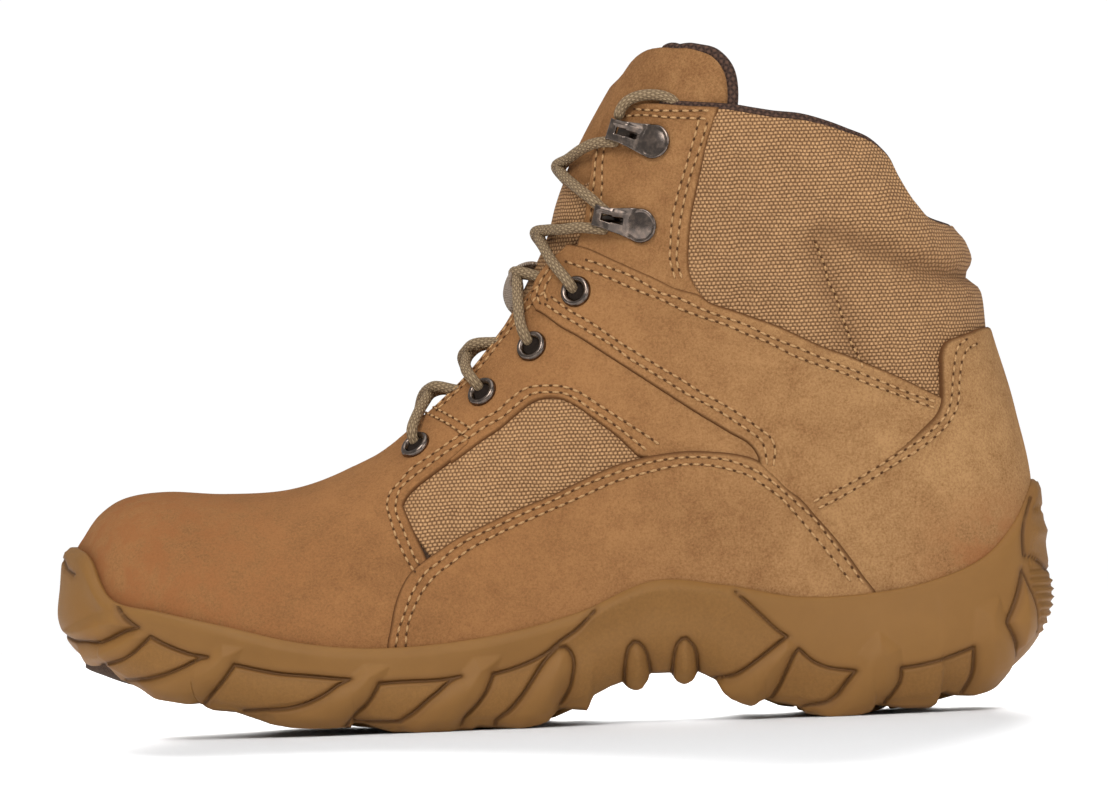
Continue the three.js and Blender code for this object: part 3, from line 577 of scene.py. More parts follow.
def rubber(name, light, dark):
    """Gum rubber, stippled where marked, with painted shade in and beside its moulded lines and on the faces under the
    tread that look down or lie deep.
    """
    finish = Finish(name, 0.62, Specular_IOR_Level=0.25)
    cloud = finish.noise(16, 3.0)
    speck = finish.noise(0.9, 4.0, 0.7)
    stipple = finish.mark("stipple")
    tone = 0.5 + (cloud - 0.5) * 0.8 + (speck - 0.5) * (0.25 + stipple * 1.5) - stipple * 0.1
    colour = finish.mix(tone.clamped(), dark, light)
    # Painted shade in the moulded lines: darkest in them and fading beside them, where shade falls in the grooves.
    line = finish.mark("groove")
    groove = line.rise(0.15, 0.75)
    shade_beside_grooves = line.rise(0.2, 2.6)
    colour = finish.mix(shade_beside_grooves, rgba(0.2, 0.092, 0.024), colour)
    colour = finish.mix(groove, rgba(0.115, 0.05, 0.013), colour)
    # Painted shade on faces marked as looking down or lying deep under the tread.
    deep = finish.mark("deep")
    colour = finish.mix(deep, colour, rgba(0.15, 0.072, 0.021))
    finish.set("Base Color", colour)
    finish.set("Roughness", speck * 0.2 + 0.5)
    finish.relief(groove * 0.7 + speck * (stipple * 0.25 + 0.05), 0.6, 0.9)
    return finish.material


def plain_cloth(name, light, dark, size=0.8):
    finish = Finish(name, 0.9, Specular_IOR_Level=0.2)
    grain = finish.noise(size, 3.0, 0.7)
    finish.set("Base Color", finish.mix(grain.rise(0.35, 0.65), dark, light))
    finish.relief(grain, 0.25)
    return finish.material


def braid(name, light, dark, pitch, turns=5):
    """A round braid: strands crossing both ways round the cord. The map is (round, along)."""
    finish = Finish(name, 0.78, Specular_IOR_Level=0.25)
    u, v, _ = finish.axes(finish.add("ShaderNodeUVMap"))
    about, along = u * (2 * PI * turns), v * (2 * PI / pitch)
    one, two = (about + along).math("SINE"), (about - along).math("SINE")
    dome = (one * 0.5 + 0.5) * (two * 0.5 + 0.5)
    cross = (one * two).math("SIGN") * 0.5 + 0.5
    tone = dome ** 0.5 * 0.75 + cross * 0.25
    grain = finish.noise(0.35, 2.0)
    finish.set("Base Color", finish.mix((tone + (grain - 0.5) * 0.4).clamped(), dark, light))
    finish.relief(dome, 0.3)
    return finish.material


def plated(name, colour, worn):
    """Metal with a dull finish, lighter and smoother where it is worn."""
    finish = Finish(name, 0.3, Metallic=1.0)
    cloud = finish.noise(2.2, 3.0)
    finish.set("Base Color", finish.mix(cloud.rise(0.4, 0.75), colour, worn))
    finish.set("Roughness", cloud * 0.2 + 0.12)
    return finish.material


SUEDE = suede("tan_suede", rgba(0.37, 0.173, 0.064), rgba(0.465, 0.262, 0.112), rgba(0.215, 0.097, 0.036),
              rgba(0.285, 0.10, 0.034))  # fmt: skip
CORDURA = woven("tan_weave", rgba(0.60, 0.34, 0.158), rgba(0.185, 0.088, 0.035), 1.35)
GUM = rubber("gum_rubber", rgba(0.278, 0.135, 0.035), rgba(0.212, 0.098, 0.0245))
LINING = plain_cloth("brown_lining", rgba(0.085, 0.048, 0.028), rgba(0.04, 0.022, 0.013))
FOOTBED = plain_cloth("footbed_cloth", rgba(0.07, 0.043, 0.027), rgba(0.028, 0.016, 0.01), 0.6)
BRAID = braid("olive_lace", rgba(0.43, 0.31, 0.18), rgba(0.12, 0.075, 0.04), 2.6, 8)
PIPING = braid("brown_piping", rgba(0.115, 0.06, 0.04), rgba(0.02, 0.01, 0.007), 2.6, 4)
WEBBING = woven("pale_webbing", rgba(0.55, 0.45, 0.36), rgba(0.30, 0.22, 0.16), 0.7)
THREAD = plain_cloth("tan_thread", rgba(0.62, 0.375, 0.175), rgba(0.44, 0.24, 0.10), 0.3)
# Dark cloth standing for the shade in each needle hole: painted shade.
NEEDLE_HOLE_SHADE = plain_cloth("needle_hole_shade", rgba(0.125, 0.055, 0.021), rgba(0.08, 0.034, 0.013), 0.5)
BRONZE = plated("antique_bronze", rgba(0.13, 0.105, 0.09), rgba(0.27, 0.205, 0.165))
# Dark cloth standing for the shade inside each eyelet: painted shade.
EYELET_SHADE = plain_cloth("eyelet_painted_shade", rgba(0.02, 0.012, 0.008), rgba(0.01, 0.006, 0.004), 0.5)

# ---- camera and light ----------------------------------------------------------------------------
FRAME_WIDTH = 339.8 * MM  # how much of the boot's plane the frame spans
CAMERA_AWAY = 3.4
LOOK_AT = Vector((-0.0021, 0.0, 0.0990))
SENSOR = 36
WORLD_LIGHT, WORLD_SEEN = 0.42, 1.02  # the surround's strength as light, and as the camera sees it
FLOOR_RADIUS = 1.28


def make_camera():
    data = bpy.data.cameras.new("camera")
    data.sensor_width = SENSOR
    data.lens = SENSOR * CAMERA_AWAY / FRAME_WIDTH
    data.clip_end = 60
    camera = bpy.data.objects.new("camera", data)
    right, up, back = Vector((-0.99932, 0, -0.03676)), Vector((-0.03676, 0, 0.99932)), Vector((0, 1, 0))
    turn = Matrix((right, up, back)).transposed().to_4x4()
    camera.matrix_world = Matrix.Translation(LOOK_AT + back * CAMERA_AWAY) @ turn
    bpy.context.scene.collection.objects.link(camera)
    bpy.context.scene.camera = camera


def add_light(name, kind, energy, aim, place=(0, 0, 0), **settings):
    """A light that shines along aim."""
    data = bpy.data.lights.new(name, kind)
    data.energy = energy
    for key, value in settings.items():
        setattr(data, key, value)
    light = bpy.data.objects.new(name, data)
    light.location = place
    light.rotation_euler = Vector(aim).to_track_quat("-Z", "Y").to_euler()
    bpy.context.scene.collection.objects.link(light)
    return light


def area_light(name, place, target, size, watts):
    aim = Vector(target) - Vector(place)
    add_light(name, "AREA", watts, aim, place, shape="RECTANGLE", size=size[0], size_y=size[1])


def make_studio():
    """A pale floor under a white surround, three soft lights and a low one for the floor alone."""
    world = bpy.data.worlds.new("studio")
    world.use_nodes = True
    tree = world.node_tree
    seen, strength = tree.nodes.new("ShaderNodeLightPath"), tree.nodes.new("ShaderNodeMapRange")
    tree.nodes["Background"].inputs["Color"].default_value = rgba(1, 1, 1)
    strength.inputs["To Min"].default_value, strength.inputs["To Max"].default_value = WORLD_LIGHT, WORLD_SEEN
    tree.links.new(seen.outputs["Is Camera Ray"], strength.inputs["Value"])
    tree.links.new(strength.outputs["Result"], tree.nodes["Background"].inputs["Strength"])
    bpy.context.scene.world = world
    bpy.context.scene.view_settings.view_transform = "Standard"
    area_light("key", (0.6, 1.6, 1.5), (0, 0, 0.08), (1.0, 1.0), 24)
    area_light("fill", (-1.1, 1.7, 0.8), (0, 0, 0.1), (1.2, 1.0), 8)
    area_light("top", (-0.1, 0.1, 1.9), (0, 0, 0), (1.4, 1.2), 8)
    low = add_light("low", "SUN", 11.5, (-0.03, 1.0, -0.25), angle=0.35)
    floor = Finish("studio_floor", 0.9, Specular_IOR_Level=0.1)
    floor.set("Base Color", floor.mix(floor.noise(400, 1.0), rgba(0.61, 0.61, 0.615), rgba(0.63, 0.63, 0.635)))

    bm = bmesh.new()
    bmesh.ops.create_circle(bm, cap_ends=True, segments=96, radius=FLOOR_RADIUS)
    mesh = bpy.data.meshes.new("studio_floor")
    bm.to_mesh(mesh)
    bm.free()
    mesh.materials.append(floor.material)
    ground = bpy.data.objects.new("studio_floor", mesh)
    bpy.context.scene.collection.objects.link(ground)
    only_floor = bpy.data.collections.new("only_floor")
    only_floor.objects.link(ground)
    low.light_linking.receiver_collection = only_floor


make_camera()
make_studio()


# ---- tubes: laces, piping and rolls --------------------------------------------------------------
def resample(points, step):
    """A smooth line through the points, in even steps, and its length."""
    p = np.asarray(points, float)
    fine = between_rows(p, np.linspace(0, len(p) - 1, 40 * len(p)))
    reach = reach_along(fine)
    count = max(3, int(round(reach[-1] / step)))
    wanted = np.linspace(0, reach[-1], count + 1)
    return np.stack([np.interp(wanted, reach, fine[:, i]) for i in range(3)], axis=-1), reach[-1]


def carried_frames(line):
    """Two directions across a line at each of its points, carried along it without twist."""
    ahead = np.gradient(line, axis=0)
    ahead /= np.linalg.norm(ahead, axis=1, keepdims=True)
    first = np.cross(ahead[0], [0.3, 0.2, 0.93])
    side = [first / np.linalg.norm(first)]
    for direction in ahead[1:]:
        carried = side[-1] - direction * np.dot(side[-1], direction)
        side.append(carried / np.linalg.norm(carried))
    side = np.array(side)
    return side, np.cross(ahead, side)


TUBE_STEP, TUBE_SIDES = 0.9, 14
SHUT = 0.05, 0.85  # a tube's radius at its end and one step in, as shares of the full one


def tube(points, radius, bm=None):
    """A round cord along the points, tapering shut at its ends. The map is (round, along)."""
    line, length = resample(points, TUBE_STEP)
    side, other = carried_frames(line)
    rows = len(line) - 1

    def place(s, t):
        i = np.clip(np.round(t * rows).astype(int), 0, rows)
        swell = np.ones(rows + 1)
        swell[[0, -1]], swell[[1, -2]] = SHUT
        r = (radius * swell[i])[:, None]
        angle = s * 2 * PI
        return line[i] + r * (np.cos(angle)[:, None] * side[i] + np.sin(angle)[:, None] * other[i])

    start = 0 if bm is None else len(bm.verts)
    faces_before = 0 if bm is None else len(bm.faces)
    bm, s, t = bent_grid(TUBE_SIDES, rows, place, bm=bm)
    layer = bm.loops.layers.uv.verify()
    bm.verts.index_update()
    bm.faces.ensure_lookup_table()
    for face in bm.faces[faces_before:]:
        for loop in face.loops:
            n = loop.vert.index - start
            loop[layer].uv = (s[n], t[n] * length)
    return bm, line


def close_tubes(bm):
    bmesh.ops.remove_doubles(bm, verts=bm.verts[:], dist=0.004)
    bmesh.ops.recalc_face_normals(bm, faces=bm.faces[:])
    return bm


# ---- the lace ------------------------------------------------------------------------------------
EYELETS = [(40.6, 86.7), (19.8, 102.3), (4.2, 115.7), (-10.3, 131.6)]
LACE_RADIUS = 1.7


def over_last(stations, sign):
    """Lace stations (section, Y, lift) as points; sign mirrors them to the other side."""
    k, y, lift = np.asarray(stations, float).T
    y = y * sign
    turn = turn_at_width(k, y) * np.sign(y + 1e-9)
    return on_last(k, turn, lift)


# Each run comes up through one row's eyelet, crosses the crest and dives under the other side's facing.
LACE_RUNS = [
    [(8.57, 17.6, -3.5), (8.58, 17.2, 0.6), (8.66, 15.8, 2.8), (8.84, 11, 2.6), (9.05, 6, 2.2), (9.2, 1, 1.9),
     (9.38, -4.5, 1.2), (9.6, -9, -1.0), (9.85, -13.5, -3.4), (10.0, -17.5, -3.6)],
    [(10.03, 18.3, -3.5), (10.03, 18.0, 0.6), (10.03, 16.4, 2.8), (10.02, 11.5, 2.5), (10.08, 6, 1.8), (10.2, 1, 1.4),
     (10.42, -4.5, 1.0), (10.7, -9.5, -1.2), (11.0, -14.5, -3.6), (11.2, -20, -3.8)],
    [(11.22, 20.6, -3.5), (11.24, 20.2, 0.6), (11.36, 17.8, 2.8), (11.62, 13, 2.5), (11.88, 7.5, 1.9), (12.0, 1, 1.2),
     (12.1, -5, 0.6), (12.25, -11, -0.9), (12.4, -16.5, -3.5), (12.58, -21.5, -3.8)],
    [(12.60, 21.9, -3.5), (12.61, 21.5, 0.6), (12.68, 20.2, 2.9), (12.78, 16, 2.9), (12.92, 9, 0.9), (13.08, 1, 0.2),
     (13.3, -8, 0.6), (13.6, -15.5, 2.2), (13.9, -20.0, 2.8), (14.12, -23.5, 2.6), (14.25, -25.5, 2.2)],
    [(14.66, 25.5, 2.2), (14.72, 24, 2.6), (14.82, 22, 2.8), (14.92, 17, 2.0), (15.05, 9, 0.7), (15.25, 1, 0.1),
     (15.6, -8, 0.7), (16.05, -15, 2.0), (16.4, -19.5, 2.8), (16.62, -23, 2.6), (16.72, -25.5, 2.2)],
]  # fmt: skip


OVER_THE_OTHER, NEAR_CREST = 1.5, 7  # how far the inner run rises where it crosses the outer one, and where


def make_laces():
    for number, stations in enumerate(LACE_RUNS, 1):
        bm = None
        for sign in (OUTER, INNER):
            over = OVER_THE_OTHER if sign == INNER else 0
            lifted = [(k, y, lift + (over if abs(y) < NEAR_CREST else 0)) for k, y, lift in stations]
            bm, _ = tube(over_last(lifted, sign), LACE_RADIUS, bm)
        to_object(close_tubes(bm), f"lace_run_{number}", BRAID, [f"lace_crossing_{number}"])


LACE_END = [(-26.2, 182.4, 2.6), (-27.4, 185.6, 2.9), (-29.6, 188.4, 2.6), (-33.0, 190.2, 1.4), (-37.0, 190.6, -0.4),
            (-40.4, 189.2, -2.0), (-43.0, 185.6, -3.4), (-44.4, 180.6, -3.8)]  # fmt: skip


def make_lace_ends():
    for name, sign in SIDES:
        x, z, lift = np.array(LACE_END).T
        s = trace(np.stack([x, z], axis=-1))
        bm, line = tube(on_last(s[:, 0], s[:, 1] * sign, lift), LACE_RADIUS)
        piece = to_object(close_tubes(bm), f"lace_tail_{name}", BRAID, [f"lace_end_{name}"])
        line[0] * MM
        line * MM  # fmt: skip


make_laces()
make_lace_ends()

# ---- upper ---------------------------------------------------------------------------------------
COLLAR_LINE = [(-27, 188.4), (-36, 188.2), (-48, 186.8), (-58.5, 185.6), (-65, 184.3), (-72, 183), (-80, 182),
               (-88, 179.8), (-95, 177.3), (-100, 175.5), (-103, 173.7), (-106, 171), (-108, 168.5), (-110, 163.5),
               (-113, 157), (-116, 153.4), (-119, 150.8), (-122, 149.6), (-125, 149.0)]  # fmt: skip
COLLAR_BACK = 18.0  # section where the collar's top line meets the boot's back


def back_point(k):
    return np.array([[k, PI]])


THIN_WALL, PADDING = 2.4, 3.6


def wall(k, turn):
    """Wall thickness: the padding swells it round the ankle."""
    ring = np.abs((turn + PI) % (2 * PI) - PI)
    return THIN_WALL + PADDING * smoothstep(14.6, 16.4, k) * smoothstep(1.15, 1.55, ring)


def make_lining():
    """The inner shell that the panels are sewn to, with the boot's lining on its inside."""
    crest = np.stack([np.linspace(0.0, 7.3, 40), np.zeros(40)], axis=-1)
    rim = throat_edge(7.35, 17.3, 60, 0.8)
    collar = np.vstack([seam(COLLAR_LINE[1:], 2.5), back_point(COLLAR_BACK - 0.05)])
    bm, _ = cut_panel(mirrored_ring(np.vstack([crest, rim, collar]), "back"), "coarse", rims=())
    _, k, turn = chart_places(bm)
    padding = (wall(k, turn) - THIN_WALL) / PADDING
    outside, inside = on_last(k, turn, -1.9 - 3.2 * padding), on_last(k, turn, -wall(k, turn) - 0.2)
    move_verts(bm, outside)
    bmesh.ops.reverse_faces(bm, faces=[f for f in bm.faces if f.normal.z < 0])
    skin = bmesh.ops.duplicate(bm, geom=bm.verts[:] + bm.edges[:] + bm.faces[:])
    pairs = {v: w for v, w in skin["vert_map"].items()}
    bm.verts.ensure_lookup_table()
    for i in range(len(outside)):
        pairs[bm.verts[i]].co = inside[i]
    bmesh.ops.reverse_faces(bm, faces=[f for f in skin["geom"] if isinstance(f, bmesh.types.BMFace)])
    bmesh.ops.remove_doubles(bm, verts=bm.verts[:], dist=0.02)
    bm.normal_update()
    return to_object(bm, "lining", LINING, ["upper"])


make_lining()

vamp = np.vstack(
    [
        np.array([[7.33, 0.0]]),
        throat_edge(7.4, 8.93, 14),
        seam([(37.6, 97), (34, 95), (29.8, 92.5), (24, 88)]),
        seam([(24.4, 86.6), (30, 82), (35, 78.5), (40, 75), (43.5, 71.8), (45, 69), (43.5, 65), (41, 59), (38, 52),
              (36, 46)]),
        seam([(36, 44), (36, 30), (36, 16)]),
        seam([(40, 14), (60, 12), (95, 15), (118, 24), (134, 34), (141, 38)]),
        np.array([[0.4, 1.75], [0.0, 1.7]]),
    ]
)  # fmt: skip
panel("vamp", vamp, SUEDE, 0.0, across="front")

for side_name, side in SIDES:
    eyestay = np.vstack(
        [
            throat_edge(8.8, 12.9, 40),
            seam([(-4, 138), (-16, 122), (-36, 107), (-54, 96), (-68, 84), (-66, 74), (-44, 72), (-31, 76)]),
            seam([(-29.5, 80.5), (-27, 81), (-24, 84), (-20, 88), (-15, 92), (-10, 96), (-5, 99), (0, 99.8), (5, 98.5),
                  (10, 95), (15, 91), (20, 88), (25, 84.6), (30, 81.2)]),
            seam([(36, 86), (41, 91)]),
        ]
    )  # fmt: skip
    panel(f"eyestay_{side_name}", eyestay, SUEDE, -0.25, side=side)
    window = seam([(34, 50), (39, 56), (46, 66), (48, 70), (44, 76), (36, 82), (24, 91), (12, 99), (0, 104), (-8, 101),
                   (-18, 94), (-28, 85), (-34, 78), (-24, 70), (0, 62), (20, 54), (34, 46)], 2.5)  # fmt: skip
    panel(f"instep_weave_{side_name}", window, CORDURA, -1.1, side=side, uv=True,
          shape=lambda p, d: 0.5 * smoothstep(2, 12, d))  # fmt: skip
    facing = np.vstack(
        [
            throat_edge(13.0, 17.35, 40),
            seam([(-22.5, 188.2), (-27, 188.4), (-35, 188.3), (-45, 187), (-52, 186.4), (-55.2, 186)]),
            seam([(-55, 185), (-53.5, 181), (-52, 177), (-50.5, 172), (-49, 166), (-47.5, 160), (-46, 154), (-45, 147),
                  (-44.5, 140), (-45, 135), (-47, 131), (-50, 127), (-48, 120)]),
            seam([(-44, 120), (-30, 128), (-12, 136)]),
        ]
    )  # fmt: skip
    panel(f"hook_facing_{side_name}", facing, SUEDE, 0.15, side=side)
    quarter = np.vstack(
        [
            seam([(2.5, 126.5), (0, 125), (-5, 121), (-10, 118), (-15, 114.5), (-20, 111), (-25, 107.5), (-30, 104),
                  (-35, 100.5), (-40, 97), (-45, 93.5), (-50, 90.3), (-55, 87), (-60, 84), (-62.5, 81), (-63.5, 77.5),
                  (-62, 70)]),
            seam([(-66, 62), (-76, 58), (-86, 58), (-96, 66), (-110, 76), (-122, 84), (-125, 92), (-125, 97)]),
            seam([(-124, 94.6), (-119, 96), (-110.7, 100.3), (-104, 103.7), (-97.3, 106.7), (-90.7, 109.7),
                  (-84, 112.3),
                  (-77.3, 115.7), (-70.7, 119), (-64, 121.7), (-57.3, 124.3), (-50.7, 126.7), (-47, 129.5),
                  (-40, 131.8),
                  (-35, 134.5), (-30, 137), (-25, 139.5), (-20, 142), (-14, 145), (-8, 146.5)]),
            seam([(-8, 146.5), (-2, 141), (2, 136), (4, 130), (2.5, 126.5)]),
        ]
    )  # fmt: skip
    panel(f"ankle_quarter_{side_name}", quarter, SUEDE, 0.75, side=side)
    flank = np.vstack(
        [
            seam([(38.5, 52), (33, 55.5), (28, 58.5), (20, 62), (10, 66.3), (0, 70), (-10, 74.5), (-20, 78.5),
                  (-28, 80.5),
                  (-35, 81.5), (-42, 82), (-50, 81.5), (-57, 80.5), (-63, 78.5), (-68, 74), (-72, 69.5), (-76, 66),
                  (-80, 61), (-85, 55), (-90, 48), (-94, 42), (-97, 38), (-100, 33)]),
            seam([(-98, 26), (-60, 22), (-20, 20), (20, 14), (50, 12)]),
            seam([(51.5, 14), (51, 26.5), (50, 31), (49, 36), (47.5, 41), (45, 46), (42, 49.5), (38.5, 52)]),
        ]
    )  # fmt: skip
    panel(f"side_panel_{side_name}", flank, SUEDE, lambda p: 0.95 + smoothstep(62, 86, -p[:, 0]), side=side)

counter = np.vstack(
    [
        back_point(16.02),
        seam([(-134.6, 116.3), (-132, 116), (-128, 114.5), (-123, 113), (-121, 111.5), (-119.7, 108), (-119.5, 97),
              (-119, 93),
              (-117, 89.5), (-113, 86), (-108, 82), (-100, 77), (-92, 72.5), (-85, 69.5), (-80, 68), (-74, 66.5)]),
        seam([(-74, 60), (-84, 44), (-90, 30)]),
        seam([(-100, 26), (-120, 26), (-135, 30)]),
        back_point(13.1),
    ]
)  # fmt: skip
panel("heel_counter_leather", counter, SUEDE, lambda p: 0.8 + smoothstep(92, 128, -p[:, 0]),
      across="back", replaces=["heel_counter"])  # fmt: skip


# Quilting seams of the padded collar, in side view.
QUILT_SEAMS = [
    [(-84.5, 146.5), (-88, 147), (-92, 146), (-97, 143.5), (-101, 142), (-106, 139.8), (-112, 137), (-118, 135),
     (-124, 133.5), (-131, 132.5)],
    [(-83, 144), (-84, 141), (-85.5, 137), (-86.5, 132), (-88, 129), (-89, 126), (-90, 122.5), (-91, 119.5),
     (-92, 116.5),
     (-93, 113), (-95, 109), (-96, 105)],
]  # fmt: skip


def to_segment(x, z, a, b):
    """Side-view distance from points to the straight piece from a to b."""
    span = b - a
    t = np.clip(((x - a[0]) * span[0] + (z - a[1]) * span[1]) / (span @ span), 0, 1)
    return np.hypot(x - a[0] - t * span[0], z - a[1] - t * span[1])


def distance_to(lines, x, z):
    """Side-view distance from points to the nearest of some lines."""
    best = np.full(len(x), 1e9)
    for line in lines:
        p = fair(line, 2.0)
        for a, b in zip(p, p[1:]):
            best = np.minimum(best, to_segment(x, z, a, b))
    return best


def quilted(places, inset):
    """Padding that swells between its seams, rolls over at the collar and sinks at the back of its rim."""
    x, z = places[:, 0], places[:, 2]
    deep = 1 + 0.7 * smoothstep(96, 128, -x)
    trough = -2.3 * deep * np.exp(-((distance_to(QUILT_SEAMS[:1], x, z) / 3.0) ** 2))
    trough = trough - 1.6 * np.exp(-((distance_to(QUILT_SEAMS[1:], x, z) / 3.2) ** 2)) * smoothstep(103, 112, z)
    rim = -1.7 * (1 - smoothstep(0, 6.5, inset)) * smoothstep(110, 121, -x) * smoothstep(139, 146, z)
    roll = 1.6 * np.exp(-(((x + 108) / 26) ** 2) - ((z - 151 + (x + 108) * 0.25) / 9) ** 2)
    return trough + roll + rim + 2.2 * smoothstep(0, 15, inset)


collar = np.vstack([seam(COLLAR_LINE[2:], 2.0), back_point(COLLAR_BACK)])
collar_low = seam([(-132, 108), (-125, 106), (-121, 92), (-110, 96), (-97, 101), (-84, 107), (-70, 113), (-57, 119),
                   (-46, 122), (-41, 130), (-40, 140), (-42, 154), (-45, 168), (-48.5, 182)], 2.0)  # fmt: skip
padding = panel("collar_weave", np.vstack([back_point(15.6), collar_low, collar]), CORDURA, -0.7,
                across="back", shape=quilted, uv=True, padded=0.7,
                deepest=lambda k, turn: 0.35 - wall(k, turn))  # fmt: skip
# Painted shade: darker cloth in the quilting's valleys, where shade falls.
spots = np.array([v.co[:] for v in padding.data.vertices]) / MM
quilt_valley_shade = np.exp(-((distance_to(QUILT_SEAMS, spots[:, 0], spots[:, 2] + 1.0) / 3.6) ** 2))
padding.data.attributes.new("quilt_valley_shade", "FLOAT", "POINT").data.foreach_set("value", quilt_valley_shade)


# ---- tongue --------------------------------------------------------------------------------------
def tongue_puff(_, inset):
    """The padded tongue's top, from the edge distance alone."""
    return 1.2 * smoothstep(0, 9, inset) - 0.6


tongue_top = np.vstack(
    [
        np.array([[18.95, 0.0]]),
        seam([(-24.2, 200), (-27, 203.6), (-30, 205.6), (-33, 206.4), (-37, 206.2), (-41, 205.4), (-45, 205.2),
              (-50, 203.8), (-53.5, 201.8), (-56.3, 199), (-58, 195.5), (-58.8, 191), (-58.2, 186), (-56, 180),
              (-48, 176)], 2.0),
        seam([(-44, 170), (-30, 164), (-12, 160)]),
    ]
)  # fmt: skip
panel("tongue_leather", tongue_top, SUEDE, -2.6, depth=3.4, across="front", shape=tongue_puff,
      replaces=["tongue"], padded=0.5)  # fmt: skip
tongue_side = throat_edge(17.6, 7.6, 40, 9.0)
tongue_side[:, 1] = np.minimum(tongue_side[:, 1], 1.35)
tongue_blade = np.vstack([[[7.0, 0.0], [7.0, 0.3]], tongue_side[::-1], [[17.6, 0.0]]])
panel("tongue_weave", tongue_blade, CORDURA, -3.1, depth=2.4, across="front",
      shape=lambda p, d: 0.8 * smoothstep(0, 8, d), uv=True)  # fmt: skip


def laid(line, lift):
    """Side-view line as points above the last; a lift for each of its points."""
    s = seam(line, 2.0)
    return s[:, 0], s[:, 1], np.interp(np.linspace(0, 1, len(s)), np.linspace(0, 1, len(lift)), lift)


def binding(name, line, lift, radius, material, across=None):
    """A braided cord sewn along an edge on both sides, or once round the boot."""
    k, turn, lifts = laid(line, lift)
    if across:
        k, lifts = np.append(k, k[::-1]), np.append(lifts, lifts[::-1])
        turn = np.append(turn, (2 * PI if across == "back" else 0) - turn[::-1])
    bm, _ = tube(on_last(k, turn, lifts), radius)
    if not across:
        tube(on_last(k, -turn, lifts), radius, bm)
    return to_object(close_tubes(bm), name, material)


binding("tongue_piping", [(-35, 205.4), (-38, 206.2), (-41, 205.2), (-45, 205.2), (-50, 204.2), (-54, 202.0), (-57, 199.0),
                          (-58.6, 195.6), (-59.2, 191), (-58.8, 186), (-57, 181)],
        [-5.6, -5.0, -4.4, -3.2, -2.8], 1.7, PIPING)  # fmt: skip
binding("collar_piping", COLLAR_LINE[1:] + [(-128.0, 148.6)], [-2.3, -2.1, -2.0, -2.4, -3.2, -4.2], 1.5, PIPING,
        "back")  # fmt: skip


# ---- seams ---------------------------------------------------------------------------------------
def skin_of(names):
    """The outer pieces of the upper as one surface to lay things on, in millimetres."""
    verts, faces = [], []
    for name in names:
        mesh = bpy.data.objects[name].data
        base = len(verts)
        verts += [v.co / MM for v in mesh.vertices]
        faces += [[base + i for i in f.vertices] for f in mesh.polygons]
    return BVHTree.FromPolygons(verts, faces)


SEWN = ["vamp", "heel_counter_leather", "collar_weave", "tongue_leather", "tongue_weave"]
for piece in ("eyestay", "instep_weave", "hook_facing", "ankle_quarter", "side_panel"):
    SEWN += [f"{piece}_outer", f"{piece}_inner"]
SKIN = skin_of(SEWN)


ABOVE_SKIN, RAY_LENGTH = 9.0, 16


def on_skin(k, turn, lift):
    """Points on whatever covers the last there, with the last's own normals."""
    starts, normals = on_last(k, turn, np.full(len(k), ABOVE_SKIN)), outward(np.asarray(k), np.asarray(turn))
    places = on_last(k, turn, np.zeros(len(k)))
    for i, (start, normal) in enumerate(zip(starts, normals)):
        hit = SKIN.ray_cast(Vector(start), Vector(-normal), RAY_LENGTH)[0]
        if hit is not None:
            places[i] = hit[:]
    return places + normals * lift, normals


PITCH, QUILT_PITCH = 3.3, 2.4  # from one needle hole to the next
THREAD_SIZE = (0.36, 0.42, 0.36)  # half a stitch: its length as a share of the pitch, width and height
HOLE_SIZE = (0.56, 0.42, 0.14)


def sew(name, rows, side, pitch=PITCH):
    """Rows of stitches: a short raised thread from one needle hole to the next, and at each needle hole a small dark
    ellipsoid of painted shade.
    """
    threads, hole_shades = bmesh.new(), bmesh.new()
    for row in rows:
        s = row if isinstance(row, np.ndarray) else seam(row, 1.0)
        reach = reach_along(on_last(s[:, 0], s[:, 1]))
        count = max(2, int(round(reach[-1] / pitch)))
        at = np.linspace(0, reach[-1], 2 * count + 1)
        k, turn = (np.interp(at, reach, s[:, i]) for i in (0, 1))
        places, normals = on_skin(k, turn * side, 0.2)
        for i in range(1, 2 * count, 2):
            ahead = places[i + 1] - places[i - 1]
            ahead = Vector(ahead / np.linalg.norm(ahead))
            normal = Vector(normals[i])
            across = normal.cross(ahead).normalized()
            frame_of = Matrix((ahead, across, ahead.cross(across))).transposed().to_4x4()
            turned = Matrix.Translation(Vector(places[i])) @ frame_of
            size = Matrix.Diagonal((pitch * THREAD_SIZE[0], *THREAD_SIZE[1:], 1))
            bmesh.ops.create_uvsphere(threads, u_segments=6, v_segments=4, radius=1, matrix=turned @ size)
            # At each needle hole a small dark flattened ellipsoid: painted shade.
            turned = Matrix.Translation(Vector(places[i - 1])) @ frame_of
            size = Matrix.Diagonal((*HOLE_SIZE, 1))
            bmesh.ops.create_icosphere(hole_shades, subdivisions=1, radius=1, matrix=turned @ size)
    to_object(threads, f"{name}_thread", THREAD)
    to_object(hole_shades, f"{name}_holes", NEEDLE_HOLE_SHADE)


